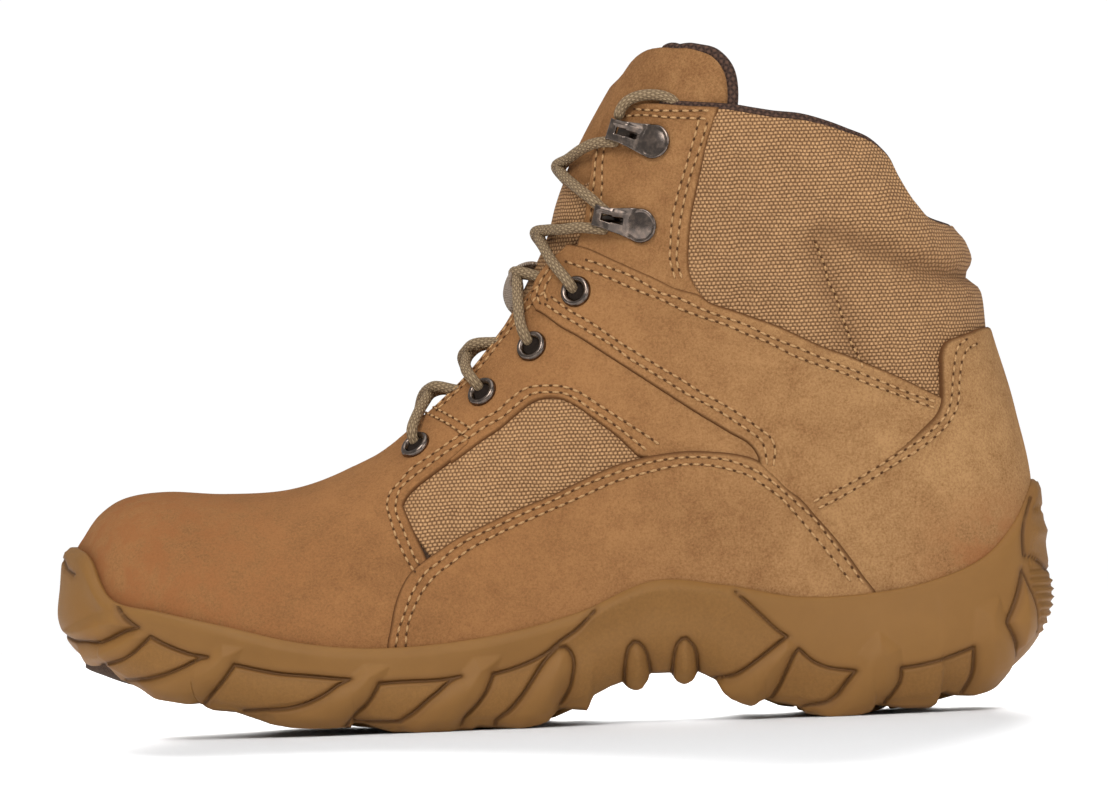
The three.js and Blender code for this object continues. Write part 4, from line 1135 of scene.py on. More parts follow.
ROWS = {
    "side_panel": [
        [(48.5, 26.5), (47.5, 31), (45.5, 36), (43.5, 41), (41, 45), (38, 48.5), (35, 50.5), (30, 54.5), (25, 57.5),
         (18, 60.5), (10, 64), (0, 68), (-10, 72.5), (-20, 76), (-30, 78.8), (-40, 80), (-48, 79.8), (-55, 78.5),
         (-62, 75.5), (-67, 72),
         (-71, 68.3), (-75, 64.5), (-80, 59.5), (-85, 52.5), (-90, 45.5), (-94, 39.5)],
        [(45.5, 26.5), (45, 31), (43.5, 35.5), (41, 40.5), (38.5, 44), (35, 47.5), (30, 51), (25, 54.5), (18, 58),
         (10, 61.5),
         (0, 65.5), (-10, 69.5), (-20, 73.5), (-30, 76), (-40, 77.8), (-48, 77.5), (-55, 75.8), (-60, 74), (-65, 70.5),
         (-70, 66.5), (-75, 60.5), (-80, 54), (-85, 47.5), (-90, 40.5)],
    ],
    "window": [
        [(41.9, 48.3), (44.4, 52.6), (47.3, 59.4), (49.1, 65.7), (49.8, 69.1), (48.5, 72.9), (46, 75.3), (42.3, 79.4),
         (38.5, 81.9), (36, 83.4), (31.6, 86.3), (26, 90), (20.4, 93.8), (15.4, 96.3), (11, 100), (6, 103), (0, 103.5),
         (-5, 103), (-10, 101), (-15, 97.5), (-20, 94), (-25, 90.5), (-30, 87), (-34, 84)],
        [(40.4, 50.4), (42.3, 53.8), (44.8, 60.7), (46.9, 66), (47.1, 69.1), (46, 72.9), (44.8, 74.6), (41, 77.6),
         (36, 81),
         (31, 84.4), (25, 88), (19, 91.8), (14, 94.3), (10, 97.5), (5, 101), (0, 101.5), (-5, 101), (-9, 99), (-13, 96),
         (-18, 92.5), (-23, 88.5), (-27, 85), (-30, 82.5)],
        [(37.9, 96.9), (34.1, 95), (29.8, 92.5), (24.1, 88.1)],
        [(36.2, 99), (32.6, 97), (28.6, 94.6), (23, 91)],
        throat_edge(9.15, 12.2, 30, 2.2),
        throat_edge(9.15, 12.2, 30, 4.6),
    ],
    "ankle_quarter": [
        [(-14, 141.2), (-18.4, 139.6), (-22.1, 138), (-26.5, 136.2), (-32.1, 132.8), (-35.9, 130.3), (-40.9, 128.7),
         (-45.3, 126.5), (-48, 125), (-54, 122.5), (-61, 119.8), (-68, 116), (-77, 112), (-86, 107.8), (-97, 103),
         (-110, 97), (-118, 94)],
        [(-7.8, 140.9), (-14, 138.4), (-20.3, 135.6), (-25.9, 132.8), (-32.1, 129.9), (-35.9, 128.4), (-41.5, 125.3),
         (-48.4, 122.4), (-55, 120), (-61, 117), (-68, 114), (-77, 109), (-90, 104), (-97, 100.7), (-113, 94),
         (-118, 92)],
        [(-1, 128), (-5, 125), (-10, 121.8), (-14, 119), (-19.5, 115.5), (-25.5, 110.7), (-31, 107), (-37, 103),
         (-43, 99),
         (-50, 95), (-56, 91), (-62, 86.5), (-64.5, 84.5), (-65.5, 81), (-66, 76.5)],
        [(-3, 130), (-8, 126), (-13.5, 122.5), (-17, 120), (-23, 115.5), (-29, 111.5), (-35, 107.5), (-41, 103.7),
         (-47, 99.5), (-53, 96), (-59, 92), (-64, 88), (-67, 85.5), (-68.5, 82), (-67.8, 76)],
        [(0.6, 128.4), (1.4, 131), (0.4, 134.4), (-2, 138), (-5, 141.4)],
        [(-1.6, 129.4), (-0.8, 131.4), (-1.6, 134), (-3.6, 137)],
    ],
    "hook_facing": [
        [(-49.5, 183), (-48, 178), (-46, 172), (-44, 166), (-42, 160), (-40, 152), (-39.3, 145), (-39, 140),
         (-40.5, 134)],
        [(-51.6, 181), (-50, 176), (-48.2, 171), (-46.2, 166), (-44.4, 160), (-42.5, 152), (-41.5, 145), (-41, 140),
         (-42.5, 134)],
        [(-30, 186.5), (-36, 185.8), (-44, 185.3), (-53, 185)],
        [(-27, 184.5), (-33, 184.5), (-40, 183.5), (-52, 182.5)],
        throat_edge(14.2, 16.6, 30, 1.8),
        throat_edge(14.2, 16.6, 30, 3.9),
    ],
    "heel_counter": [
        [(-127, 112.5), (-124.5, 110.5), (-123.5, 107), (-122.5, 100), (-122, 95), (-120.5, 90.5), (-117, 86.5),
         (-112, 82.5), (-106, 79), (-100, 75.5), (-92, 71), (-85, 67.8), (-79, 65)],
        [(-130, 111), (-127, 109.5), (-125.5, 106), (-124.5, 100), (-124, 94), (-122, 89), (-118, 84.5), (-112, 80),
         (-106, 76.5), (-100, 73), (-92, 68.5), (-85, 65), (-80.5, 63)],
    ],
}  # fmt: skip


def make_seams():
    for name, rows in ROWS.items():
        for side_name, side in SIDES:
            sew(f"{name}_{side_name}", rows, side)
    for side_name, side in SIDES:
        sew(f"collar_quilting_{side_name}", QUILT_SEAMS[1:], side, QUILT_PITCH)


make_seams()


# ---- eyelets, hooks and keeper -------------------------------------------------------------------
# Each hook's base and nose, in side view.
HOOKS = [((-30.6, 151.0), (-17.0, 155.5)), ((-35.6, 176.2), (-22.2, 180.6))]


def stand_on_skin(place, side, towards):
    """A matrix at a side-view place: X towards the given one, Z out of the leather."""
    s = trace(np.array([place, towards]))
    places, normals = on_skin(s[:, 0], s[:, 1] * side, 0.0)
    normal = Vector(normals[0])
    ahead = Vector(places[1] - places[0])
    ahead = (ahead - normal * ahead.dot(normal)).normalized()
    return Matrix.Translation(Vector(places[0])) @ Matrix((ahead, normal.cross(ahead), normal)).transposed().to_4x4()


# The eyelet's rolled rim, as (radius, height).
EYELET_PROFILE = [(2.5, -0.2), (2.75, 0.5), (3.05, 1.05), (3.5, 1.4), (4.05, 1.45), (4.55, 1.15), (4.85, 0.65),
                  (4.95, 0.1), (4.9, -0.5)]  # fmt: skip


def make_eyelet(number, place, side_name, side):
    bm = bmesh.new()
    fine = between_rows(np.array(EYELET_PROFILE), np.linspace(0, len(EYELET_PROFILE) - 1, 25))
    verts = [bm.verts.new((r, 0, h)) for r, h in fine]
    edges = [bm.edges.new(pair) for pair in zip(verts, verts[1:])]
    bmesh.ops.spin(bm, geom=verts + edges, cent=(0, 0, 0), axis=(0, 0, 1), angle=2 * PI, steps=36, use_merge=True)
    bmesh.ops.recalc_face_normals(bm, faces=bm.faces[:])
    face_out(bm, Vector((0, 0, -8)))
    matrix = stand_on_skin(place, side, (place[0] - 4, place[1]))
    bmesh.ops.transform(bm, matrix=matrix, verts=bm.verts[:])
    to_object(bm, f"eyelet_ring_{side_name}_{number}", BRONZE, [f"eyelet_{side_name}_{number}"])
    # A dark disc inside the ring: painted shade in the eyelet's hole.
    bm = bmesh.new()
    inside_rim = matrix @ Matrix.Translation((0, 0, 0.25))
    bmesh.ops.create_circle(bm, cap_ends=True, radius=2.9, segments=20, matrix=inside_rim)
    to_object(bm, f"eyelet_hole_shade_{side_name}_{number}", EYELET_SHADE)


HOOK_BASE, HOOK_START, HOOK_LENGTH = 5.3, -5.28, 21.9
HOOK_FOOT = [(-3, -3), (-3, 3), (4, 3.2), (13, 2.2), (13, -2.2), (4, -3.2)]


def hook_half_width(u):
    """Half the hook's width along its length: a round base that narrows to a square nose."""
    disc = np.sqrt(np.clip(HOOK_BASE**2 - np.minimum(u, HOOK_BASE) ** 2, 0.0, None))
    arm = np.interp(u, [1.6, 4.0, 7.0, 10.0, 13.0, 17.0], [5.05, 4.55, 3.8, 3.3, 3.2, 3.4])
    return np.where(u < 1.6, disc, arm)


def make_hook(number, ends, side_name, side):
    def place(s, t):
        u = HOOK_START + HOOK_LENGTH * s
        v = (t - 0.5) * 2 * hook_half_width(u)
        rise = 1.0 + 3.3 * smoothstep(3.2, 9.0, u)
        nose = np.clip(u - 14.2, 0, None)
        height = rise - 1.0 * nose**1.25
        r = np.hypot(u, v)
        rim = 0.35 * np.exp(-(((r - 4.75) / 0.3) ** 2)) * (u < 2.5)
        dome = 0.5 * np.clip(1 - (r / 4.4) ** 2, 0, 1) * (u < 4.4)
        ridge = 0.5 * np.exp(-(((v + 2.3) / 0.7) ** 2)) * smoothstep(4, 6, u) * smoothstep(14, 12.5, u)
        return np.stack([u - nose * 0.28, v, height + rim + dome + ridge], axis=-1)

    bm, _, _ = bent_grid(66, 24, place)
    middles = [(f, f.calc_center_median()) for f in bm.faces]
    slot = [f for f, middle in middles if abs(middle.x - 8.6) < 3.4 and abs(middle.y) < 1.05]
    bmesh.ops.delete(bm, geom=slot, context="FACES")
    bm.normal_update()
    bmesh.ops.solidify(bm, geom=bm.faces[:], thickness=1.0)
    bmesh.ops.recalc_face_normals(bm, faces=bm.faces[:])
    under = [bm.verts.new((u, v, -0.3)) for u, v in HOOK_FOOT]
    plate = bmesh.ops.extrude_face_region(bm, geom=[bm.faces.new(under)])["geom"]
    bmesh.ops.translate(bm, vec=(0, 0, 0.75), verts=[v for v in plate if isinstance(v, bmesh.types.BMVert)])
    disc, nose = ends
    bmesh.ops.transform(bm, matrix=stand_on_skin(disc, side, nose), verts=bm.verts[:])
    to_object(bm, f"speed_hook_{side_name}_{number}", BRONZE, [f"hook_{side_name}_{number}"])


def make_keeper():
    """The webbing loop at the middle of the tongue that the lace passes."""

    def place(s, t):
        k = 11.45 + 0.8 * s + 0.3 * (t - 0.5)
        y = (t - 0.5) * 7.5
        arch = 5.6 * np.sin(PI * np.clip(s, 0, 1)) ** 0.6 - 2.6
        return on_last(k, turn_at_width(k, y) * np.sign(y + 1e-9), arch)

    bm, s, t = bent_grid(24, 8, place)
    lay_uv(bm, np.stack([s * 20, t * 8], axis=-1))
    bm.normal_update()
    bmesh.ops.solidify(bm, geom=bm.faces[:], thickness=1.0)
    bmesh.ops.recalc_face_normals(bm, faces=bm.faces[:])
    to_object(bm, "lace_keeper", WEBBING)


for side_name, side in SIDES:
    for number, place in enumerate(EYELETS, 1):
        make_eyelet(number, place, side_name, side)
    for number, ends in enumerate(HOOKS, 1):
        make_hook(number, ends, side_name, side)
make_keeper()


# ---- outsole -------------------------------------------------------------------------------------
# Rows from the toe's tip to the heel's: the outline's X and its Y outside and inside, the top edge's height
# and how far the tread's edge lies inside the outline.
OUT_X, OUT_LAT, OUT_MED, OUT_TOP, OUT_UNDER = range(5)
SOLE = np.array(
    [
        (152.5, -5.0, -5.0, 59.3, 8.5),
        (150.6, 9.5, -21.5, 58.6, 8.2),
        (145.4, 22.0, -34.0, 55.5, 7.5),
        (136.0, 34.0, -44.5, 43.4, 6.5),
        (120.0, 44.0, -51.5, 39.2, 5.5),
        (100.0, 50.6, -54.6, 34.2, 5.0),
        (79.0, 54.2, -54.8, 28.8, 5.0),
        (58.0, 55.0, -51.8, 26.2, 5.0),
        (36.0, 53.0, -47.2, 26.6, 5.0),
        (14.0, 49.4, -43.4, 29.3, 5.0),
        (-8.0, 46.4, -41.4, 34.8, 5.0),
        (-30.0, 44.6, -41.0, 43.2, 5.0),
        (-52.0, 43.6, -41.4, 41.2, 5.0),
        (-74.0, 43.0, -42.0, 36.8, 5.0),
        (-96.0, 42.0, -42.0, 37.0, 5.0),
        (-117.0, 39.6, -39.6, 40.4, 6.5),
        (-134.0, 33.0, -33.0, 47.0, 10.0),
        (-145.4, 22.6, -22.6, 58.0, 14.0),
        (-150.8, 11.0, -11.0, 67.5, 16.0),
        (-152.5, 0.0, 0.0, 69.5, 16.5),
    ]
)
SOLE_END = len(SOLE) - 1
# The underside at the tread's edge, in side view.
UNDERSIDE = np.array(
    [
        (-145, 21), (-141, 18), (-138, 14.5), (-137.5, 11), (-136, 8.5), (-132, 6.3), (-126, 4.3), (-122, 4.6),
        (-118, 5.7),
        (-116, 5.5), (-115, 2.2), (-113, 1.3), (-105, 1.5), (-98, 2.6), (-95.5, 2.8), (-93.5, 0.5), (-88, 0), (-80, 0),
        (-75, 1.2), (-73, 3.2), (-70, 4), (-66, 4.8), (-63, 6), (-60, 5), (-58.5, 3.9), (-56, 4.8), (-53.5, 6.2),
        (-51, 8),
        (-50, 9.5), (-48.5, 12), (-45, 14), (-42.8, 15), (-40.5, 12.4), (-38.5, 11.4), (-36.5, 12.4), (-34.6, 15),
        (-28.4, 15),
        (-26.5, 12.4), (-23.8, 10), (-21.6, 11), (-20, 12.8), (-16, 11.5), (-11, 9), (-9, 4.5), (-2, 5.3), (0, 5),
        (4, 1.5),
        (10, 0.3), (15, 0), (24.6, 0.9), (26, 0), (45, 0), (50, 0.3), (55, 1.8), (59, 3.4), (62, 3.6), (63, 2.2),
        (70, 2.3),
        (80, 2.8), (87, 4), (92, 5.8), (98, 8), (105, 8.8), (107.3, 9.8), (108, 11.5), (112, 10.8), (120, 12.3),
        (124, 14),
        (130, 17), (133, 18.3), (134, 21), (138, 21.7), (142, 22.2), (144, 24), (145.5, 28.5), (147, 30),
    ]
)  # fmt: skip

# Lines moulded into the wall, in side view.
GROOVES = [
    [(150.4, 55.5), (149, 52.8), (146.6, 51.2)],
    [(132.6, 41.4), (131, 38.5), (128.5, 36), (126.5, 34.6)],
    [(126.5, 34.6), (131, 33.5), (135.4, 31.5), (139, 30.4), (143.5, 30.9), (146.7, 30.9), (152, 33)],
    [(138.2, 23.4), (132.3, 24.8), (128.5, 26.9), (125.4, 29.4), (122.9, 31.8)],
    [(122.9, 31.8), (117.3, 28.8), (111, 26.3), (105.4, 25.1)],
    [(105.4, 25.1), (108.2, 24.6), (112.3, 22.6), (117.3, 20.7), (122.3, 19.3), (125.4, 18.8), (131, 18.6)],
    [(107, 11), (103.5, 15), (100.4, 18.5), (97.3, 22.6)],
    [(97.3, 22.6), (89.8, 20.7), (83.5, 19.4), (74.8, 18.4), (66, 17.3), (62.5, 17)],
    [(62.5, 17), (66, 15.5), (70, 12.8), (75, 10.5), (80, 9.2), (86, 8.6), (95, 8.4)],
    [(64.4, 3), (61.6, 6.3), (57.9, 9.1), (55.4, 12.3), (53.8, 15.4)],
    [(53.8, 15.4), (47.9, 15.7), (38.5, 15.7), (32.9, 16), (29.1, 16.6)],
    [(29.1, 16.6), (32.3, 15.4), (36, 12.3), (39.8, 9.4), (43.5, 6.3), (47.3, 4.1), (49.1, 3.6), (59.8, 4.1),
     (62.6, 5)],
    [(29.5, 2), (28.8, 3.8), (24.8, 7.6), (21.6, 11.6), (19.4, 16.6)],
    [(19.4, 16.9), (13.5, 18.2), (7.3, 20.4), (2.9, 22.6), (-1.5, 26), (-7.1, 29.8), (-12, 35)],
    [(19.5, 1), (18.8, 3), (14.8, 5.7), (11, 9.8), (7.3, 15), (3.5, 20.4), (-0.3, 24.1), (-2.8, 24.3), (-4.6, 22.3),
     (-5.3, 19.1),
     (-4.6, 14.8), (-3.4, 11), (-0.6, 6.9)],
    [(-20.2, 12), (-20.5, 17), (-21, 20), (-22, 23.5), (-23.5, 25), (-25, 24.8), (-27, 22.5), (-28, 19), (-28.5, 14)],
    [(-34.7, 14), (-35.5, 20), (-36.5, 23.5), (-38, 25.3), (-39.5, 25.5), (-41, 24), (-42.5, 21), (-42.8, 14)],
    [(-55, 39), (-58, 36), (-63, 31), (-67, 27), (-70, 24.8)],
    [(-70, 24.8), (-66, 22), (-62, 19), (-57, 15.5), (-53, 13.5), (-47.5, 13)],
    [(-63.5, 5), (-64.6, 6.3), (-67.1, 9.75), (-69.6, 14.75), (-71.8, 19.1), (-73.4, 21)],
    [(-73.4, 21), (-77.8, 16.9), (-82.8, 14.8), (-90.3, 13.6)],
    [(-90.3, 13.6), (-87.1, 9.75), (-84.6, 6.6), (-80.9, 4.4), (-74, 3.2)],
    [(-98.5, 2.5), (-99, 3.8), (-102.1, 7.25), (-104, 10.4), (-104.3, 14)],
    [(-104.3, 14), (-109, 14.4), (-116.5, 15.9), (-122.8, 17.9), (-126.7, 19.3)],
    [(-126.7, 19.3), (-126.5, 14.8), (-125.6, 10.4), (-122, 4.5)],
    [(-137.1, 26.3), (-139.3, 31), (-141.2, 36), (-142.4, 40.4), (-142.8, 42)],
    [(-137.1, 26.3), (-138.7, 22.9), (-139.6, 19.75), (-139.6, 16)],
    [(-142.8, 42), (-144.6, 37.3), (-146.2, 33.5), (-147.1, 29.1), (-147.1, 23)],
    [(-143.7, 46.3), (-146.5, 45.7), (-149, 43.8), (-152, 40.8)],
    [(-143.7, 46.3), (-143.5, 52), (-144.5, 58), (-146.5, 64)],
]  # fmt: skip


def sole_row(q):
    mirrored = (OUT_X, OUT_TOP, OUT_UNDER)
    return between_rows(SOLE, np.asarray(q, float), even=mirrored, even_end=mirrored)


def outline(q, side):
    row = sole_row(q)
    y = np.where(side > 0, row[..., OUT_LAT], row[..., OUT_MED])
    return np.stack([row[..., OUT_X], y], axis=-1)


def inward(q, side):
    """The direction in plan from the outline into the sole."""
    step = 0.02
    inner = np.clip(q, step, SOLE_END - step)
    along = outline(inner + step, side) - outline(inner - step, side)
    along /= np.linalg.norm(along, axis=-1, keepdims=True)
    normal = np.stack([along[..., 1], -along[..., 0]], axis=-1) * -np.asarray(side, float)[..., None]
    tip = np.stack([np.where(q < 1, -1.0, 1.0), np.zeros_like(q)], axis=-1)
    close = np.clip(np.minimum(q, SOLE_END - q) / step, 0, 1)[..., None]
    normal = normal * close + tip * (1 - close)
    return normal / np.linalg.norm(normal, axis=-1, keepdims=True)


MIDDLE = -4.5  # Y of the last's middle in the forefoot


def inside_last(x, y, z):
    s = trace(np.stack([x, z], axis=-1))
    place = bare_last(s[:, 0], s[:, 1] * np.where(y >= MIDDLE, 1, -1))
    hit = np.abs(place[:, 0] - x) + np.abs(place[:, 2] - z) < 0.6
    return hit & (np.abs(y - MIDDLE) < np.abs(place[:, 1] - MIDDLE))


def lip_inset(q, side, z, margin):
    """How far inside the outline the wall must come to lie margin outside the last, 5 mm if never."""
    edge, into = outline(q, side), inward(q, side)
    best = np.full(len(q), 5.0)
    found = np.zeros(len(q), bool)
    for inset in np.arange(0, 15, 0.25):
        p = edge + into * (inset + margin)
        now = inside_last(p[:, 0], p[:, 1], z) & ~found
        best[now] = inset
        found |= now
    return best


def even_places(count):
    """Rows of the sole's table spaced evenly along the outline."""
    q = np.linspace(0, SOLE_END, 3000)
    p = outline(q, np.ones_like(q))
    reach = reach_along(p)
    return np.interp(np.linspace(0, reach[-1], count + 1), reach, q)


WALL_COLUMNS, WALL_ROWS = 640, 68


def wall_profile():
    """For each side, the wall's corner points from the tread up to the lip, column by column."""
    q = even_places(WALL_COLUMNS)
    sides = {}
    for side in (OUTER, INNER):
        s = np.full(len(q), side)
        edge, into, row = outline(q, s), inward(q, s), sole_row(q)
        top, under = row[:, OUT_TOP], row[:, OUT_UNDER]
        low = edge + into * under[:, None]
        bottom = np.interp(low[:, 0], *UNDERSIDE.T)
        height = top - bottom
        shoulder, lip = lip_inset(q, s, top - 3.0, 4.2), lip_inset(q, s, top, 2.3)
        kernel = np.ones(9) / 9
        shoulder, lip = (np.convolve(np.pad(v, 4, mode="edge"), kernel, "valid") for v in (shoulder, lip))
        stations = [
            (under + 9, bottom + 5), (under + 8, bottom + 0.1), (under + 0.9, bottom), (under - 0.1, bottom + 0.9),
            (under * 0.38, bottom + 0.17 * height), (under * 0, bottom + 0.38 * height),
            (under * 0.08 + 0.2, bottom + 0.66 * height), (shoulder, top - 3.0), (lip - 0.8, top - 0.7),
            (lip, top - 0.05),
            (lip + 1.2, top - 0.1), (lip + 2.6, top - 3),
        ]  # fmt: skip
        sides[side] = np.stack([np.c_[edge + into * inset[:, None], z] for inset, z in stations])
    return sides


PETAL_HEIGHT = 2.6
GROOVE_DEPTH, GROOVE_WIDTH = 0.9, 0.6


def wall_relief(x, z):
    """How far the wall stands proud of its plain form, and where it is stippled."""
    raised, stipple = np.zeros(len(x)), np.zeros(len(x))
    for corners in PETALS:
        inside = polygon_inset(fair([*corners, corners[0]], 2.0)[:-1], x, z)
        raised = np.maximum(raised, PETAL_HEIGHT * smoothstep(-0.6, 5.5, inside) ** 0.6)
    for corners, height in LUG_FACES:
        inside = polygon_inset(np.asarray(corners, float), x, z)
        raised = np.maximum(raised, height * smoothstep(-0.2, 1.0, inside))
        stipple = np.maximum(stipple, smoothstep(0.2, 1.6, inside))
    return raised, stipple


def polygon_inset(ring, x, z):
    """Signed distance to a polygon, positive inside it."""
    best = np.full(len(x), 1e9)
    inside = np.zeros(len(x), bool)
    for a, b in zip(ring, np.roll(ring, -1, 0)):
        best = np.minimum(best, to_segment(x, z, a, b))
        crosses = ((a[1] > z) != (b[1] > z)) & (x < (b[0] - a[0]) * (z - a[1]) / (b[1] - a[1] + 1e-12) + a[0])
        inside ^= crosses
    return np.where(inside, best, -best)


# Stippled faces between the moulded lines: corners in side view, and how far they stand proud.
LUG_FACES = [
    ([(138, 23.6), (128.5, 27), (122.9, 31.6), (111, 26.3), (105.6, 25), (117, 20.8), (130, 18.8)], 0.5),
    ([(106.5, 12), (97.3, 22.4), (83.5, 19.3), (63, 17), (75, 10.6), (94, 8.6)], 0.5),
    ([(64, 3.6), (55.4, 12.3), (53.8, 15.2), (30, 16.4), (39.8, 9.4), (49, 3.8)], 0.5),
    ([(28.8, 3.8), (21.6, 11.6), (19.4, 16.5), (3, 22.5), (11, 9.8), (18.8, 3)], 0.5),
    ([(-64.6, 6.3), (-73.4, 20.8), (-77.8, 16.9), (-90, 13.6), (-81, 4.4)], 0.5),
    ([(-99, 3.8), (-104.3, 13.8), (-126.6, 19), (-125.6, 10.4), (-122, 5)], 0.5),
    ([(2.9, 22.6), (-7, 29.6), (-13, 35.5), (-22, 40), (-35, 42.8), (-50, 41), (-56, 37), (-70, 24.8), (-57, 15.5),
      (-47, 12.5),
      (-42, 15), (-28, 14), (-20, 12), (-11, 9), (-1, 6), (-4.6, 14.8), (-5.3, 19), (-2.8, 24.3)], 0.4),
    ([(-144, 47), (-150, 43), (-155, 45), (-155, 66), (-148, 68), (-145.5, 60)], 0.3),
]  # fmt: skip
# Smooth rounded ribs that run down between those faces to the tread.
PETALS = [
    [(150.5, 34), (141, 38.4), (133, 40.5), (127.5, 35.2), (139, 31), (146.5, 31.4)],
    [(146.5, 30), (139, 29.6), (127, 33.6), (123.6, 32), (129, 27.6), (138, 24), (145, 22)],
    [(105.4, 25.6), (112, 23), (122, 19.8), (127.5, 18.4), (124, 11), (107, 8), (106, 13), (100.5, 18.5),
     (97.4, 23), (95, 27.5),
     (101, 28.5)],
    [(62.5, 17.4), (66, 15.8), (75, 10.9), (87, 9), (90, 3), (75, -1), (64, 1), (61, 6.5), (55.8, 12), (53.2, 15.8),
     (51, 20.5),
     (58, 21)],
    [(29.1, 17), (32.3, 15.8), (43.5, 6.7), (49.5, 3.4), (45, -3), (30, -3), (28.6, 4), (25, 7.6), (21.8, 11.6),
     (19, 17.5),
     (17, 22), (25, 21.5)],
    [(19, 3), (11, 9.8), (3.5, 20.2), (-0.3, 23.7), (-3.6, 23), (-4.8, 19), (-4.2, 14.8), (-0.4, 7), (3, -2), (14, -3)],
    [(-48, 12.4), (-53, 13.2), (-62, 18.8), (-70, 24.4), (-73, 21), (-69.4, 14.7), (-64.2, 6.3), (-62, 2), (-50, 4)],
    [(-90.3, 14), (-84.8, 6.8), (-77, 3.2), (-80, -3), (-93, -3), (-98, 3.5), (-102, 7.2), (-104.4, 13.8), (-104, 20),
     (-98, 25), (-92, 19)],
    [(-126.9, 19.4), (-126.6, 14.8), (-125.6, 10), (-122.5, 5), (-126, 0), (-134, 3), (-141, 14), (-139.4, 19.8),
     (-137, 26),
     (-135, 34), (-128, 31)],
    [(-137.4, 26.3), (-142.6, 41.2), (-146.6, 31), (-147, 24), (-141, 15), (-139.4, 20)],
    [(-20.6, 8), (-20.8, 17), (-22.2, 23), (-23.6, 24.6), (-25, 24.4), (-26.8, 22.2), (-28.2, 15), (-28.4, 8)],
    [(-34.9, 8), (-35.7, 20), (-38, 25), (-39.5, 25.2), (-41, 23.8), (-42.5, 16), (-42.6, 8)],
]  # fmt: skip


# The heel's ribbed pad, in side view, and the ridge and groove round the back above it.
HEEL_PAD = [(-143.7, 46), (-145, 37), (-147.5, 30), (-147.5, 21), (-158, 21), (-158, 41.5), (-150, 43)]
RIB_PITCH, RIB_HEIGHT = 2.5, 0.55
RIDGE_Z, RIDGE_GROOVE_Z = 53.5, 60.4


def heel_relief(x, z):
    pad = smoothstep(0.2, 1.2, polygon_inset(np.array(HEEL_PAD), x, z))
    ribs = RIB_HEIGHT * pad * np.sin(z * 2 * PI / RIB_PITCH)
    bumper = smoothstep(-145.5, -148, x) * (z > 43)
    groove = 0.9 * np.exp(-(((z - RIDGE_GROOVE_Z) / 0.7) ** 2))
    return ribs, bumper * (np.exp(-(((z - RIDGE_Z) / 2.0) ** 2)) - groove)


def make_outsole():
    sides = wall_profile()
    # The grid row at which each of the profile's corners lies.
    share = np.array([0, 1, 2.2, 3.4, 11, 29, 49, 61, 63.5, 65, 66.5, WALL_ROWS]) / WALL_ROWS
    total = 2 * WALL_COLUMNS

    def place(s, t):
        column = np.round(s * total).astype(int)
        out = column <= WALL_COLUMNS
        index = np.where(out, column, total - column)
        level = np.interp(t, share, np.arange(len(share)))
        places = np.empty((len(s), 3))
        for side, mask in ((OUTER, out), (INNER, ~out)):
            corners = sides[side][:, index[mask]]
            k = level[mask]
            i = np.clip(np.floor(k).astype(int), 0, len(share) - 2)
            f = (k - i)[:, None]
            a, b, c, d = (corners[np.clip(i + n, 0, len(share) - 1), np.arange(len(k))] for n in (-1, 0, 1, 2))
            bend = ((i >= 3) & (i <= 8))[:, None]
            places[mask] = np.where(bend, curved(a, b, c, d, f), b + (c - b) * f)
        return places

    bm, s, t = bent_grid(total, WALL_ROWS, place)
    bmesh.ops.remove_doubles(bm, verts=bm.verts[:], dist=0.005)
    bmesh.ops.recalc_face_normals(bm, faces=bm.faces[:])
    face_out(bm, Vector((0, 0, 30)))
    bm.normal_update()
    p = where_verts_are(bm)
    normals = np.array([v.normal[:] for v in bm.verts])
    groove = distance_to(GROOVES, p[:, 0], p[:, 2])
    facing = np.clip(np.hypot(normals[:, 0], normals[:, 1]) * 1.6 - 0.4, 0, 1)
    on_wall = facing * smoothstep(-1, 1.5, p[:, 2] - np.interp(p[:, 0], *UNDERSIDE.T))
    raised, stipple = wall_relief(p[:, 0], p[:, 2])
    ribs, ridge = heel_relief(p[:, 0], p[:, 2])
    relief = raised - GROOVE_DEPTH * np.exp(-((groove / GROOVE_WIDTH) ** 2)) + ribs + ridge
    moved = p + normals * (relief * on_wall)[:, None]
    moved[:, 2] = np.maximum(moved[:, 2], 0)
    move_verts(bm, moved)
    # Distance to the moulded lines and a mark on faces that look down, both for the rubber's painted shade.
    mark(bm, "groove", np.where(facing > 0.25, np.minimum(groove, 5), 5))
    mark(bm, "stipple", stipple * on_wall)
    mark(bm, "deep", 0.8 * smoothstep(-0.75, -0.97, normals[:, 2]))
    floor_grid(bm, sides)
    return to_object(bm, "outsole_rubber", GUM, ["outsole"])


def floor_grid(bm, sides):
    """The floor of the tread's grooves, from one wall to the other."""

    def place(s, t):
        index = np.round(s * WALL_COLUMNS).astype(int)
        a, b = sides[OUTER][0][index], sides[INNER][0][index]
        return a + (b - a) * t[:, None]

    before = len(bm.faces)
    bent_grid(WALL_COLUMNS, 6, place, bm=bm)
    bm.faces.ensure_lookup_table()
    bm.normal_update()
    new = bm.faces[before:]
    if sum(f.normal.z for f in new) > 0:
        bmesh.ops.reverse_faces(bm, faces=new)
    groove, deep = bm.verts.layers.float["groove"], bm.verts.layers.float["deep"]
    for face in new:
        for vert in face.verts:
            # Painted shade: the floor of the grooves takes the rubber's full shade for deep-lying faces.
            vert[groove], vert[deep] = 5, 1


# The lugs' lower ends, as (X, height).
TREAD_LEVEL = np.array(
    [
        (-140, 14), (-125, 5.5), (-115, 3), (-95, 0.4), (-80, 0.2), (-65, 4), (-50, 12), (-20, 12), (-5, 5),
        (5, 1.2), (20, 0.3),
        (45, 0.3), (60, 2.2), (75, 3), (92, 6), (107, 10), (120, 12.8), (133, 18.8), (145, 27),
    ]
)  # fmt: skip


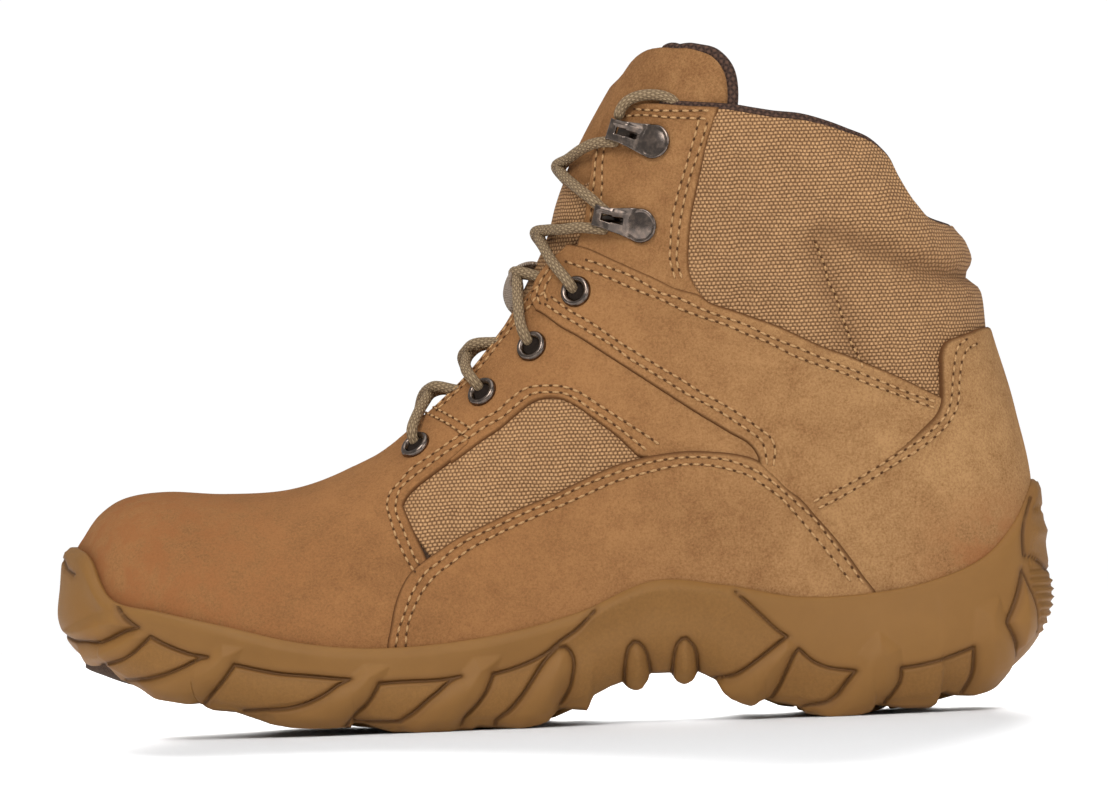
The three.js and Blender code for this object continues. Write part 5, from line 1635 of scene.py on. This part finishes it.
LUG_ROWS = [124, 109, 94, 79, 64, 49, 34, 19, 4, -68, -82, -96, -110, -123]
LUG_HALF, LUG_DEPTH, LUG_BEVEL = 4.6, 5.4, 0.8
LUG_FROM, LUG_SHORTEST, LUG_MARGIN = 2.2, 9, 10.5


def make_tread():
    """Slanting lugs in two files under the boot, with a channel between them."""
    q = np.linspace(0, SOLE_END, 400)
    rows = sole_row(q)
    bm = bmesh.new()
    for middle in LUG_ROWS:
        for side in (OUTER, INNER):
            widest = np.interp(-middle, -rows[:, OUT_X], rows[:, OUT_LAT if side > 0 else OUT_MED])
            edge = abs(widest) - np.interp(-middle, -rows[:, OUT_X], rows[:, OUT_UNDER]) - LUG_MARGIN
            if edge < LUG_SHORTEST:
                continue
            slant = 7.0 if middle > 0 else -5.0
            back, front, bend = middle - LUG_HALF, middle + LUG_HALF, slant * 0.4
            plan = [(back, LUG_FROM), (front, LUG_FROM), (front - bend, edge * 0.55), (front - slant, edge),
                    (back - slant, edge), (back - bend, edge * 0.55)]  # fmt: skip
            ring = [bm.verts.new((x, y * side, np.interp(x, *TREAD_LEVEL.T) + LUG_DEPTH)) for x, y in plan]
            base = bm.faces.new(ring)
            lug = bmesh.ops.extrude_face_region(bm, geom=[base])["geom"]
            ends = [v for v in lug if isinstance(v, bmesh.types.BMVert)]
            bmesh.ops.translate(bm, vec=(0, 0, -LUG_DEPTH), verts=ends)
            rim = list({e for f in lug if isinstance(f, bmesh.types.BMFace) for e in f.edges})
            bmesh.ops.bevel(bm, geom=rim, offset=LUG_BEVEL, offset_type="OFFSET", segments=2, profile=0.5,
                            affect="EDGES", material=-1)  # fmt: skip
    bmesh.ops.recalc_face_normals(bm, faces=bm.faces[:])
    places = where_verts_are(bm)
    mark(bm, "groove", np.full(len(places), 5.0))
    mark(bm, "stipple", np.full(len(places), 0.5))
    # Painted shade: the lugs darken towards the sole, in the recesses between them.
    mark(bm, "deep", smoothstep(1.5, 5, places[:, 2] - np.interp(places[:, 0], *TREAD_LEVEL.T)))
    to_object(bm, "tread_lugs", GUM)


make_outsole()
make_tread()

# ---- carried-over pieces -------------------------------------------------------------------------
insole = bpy.data.objects["insole"].data
insole.materials.clear()
insole.materials.append(FOOTBED)
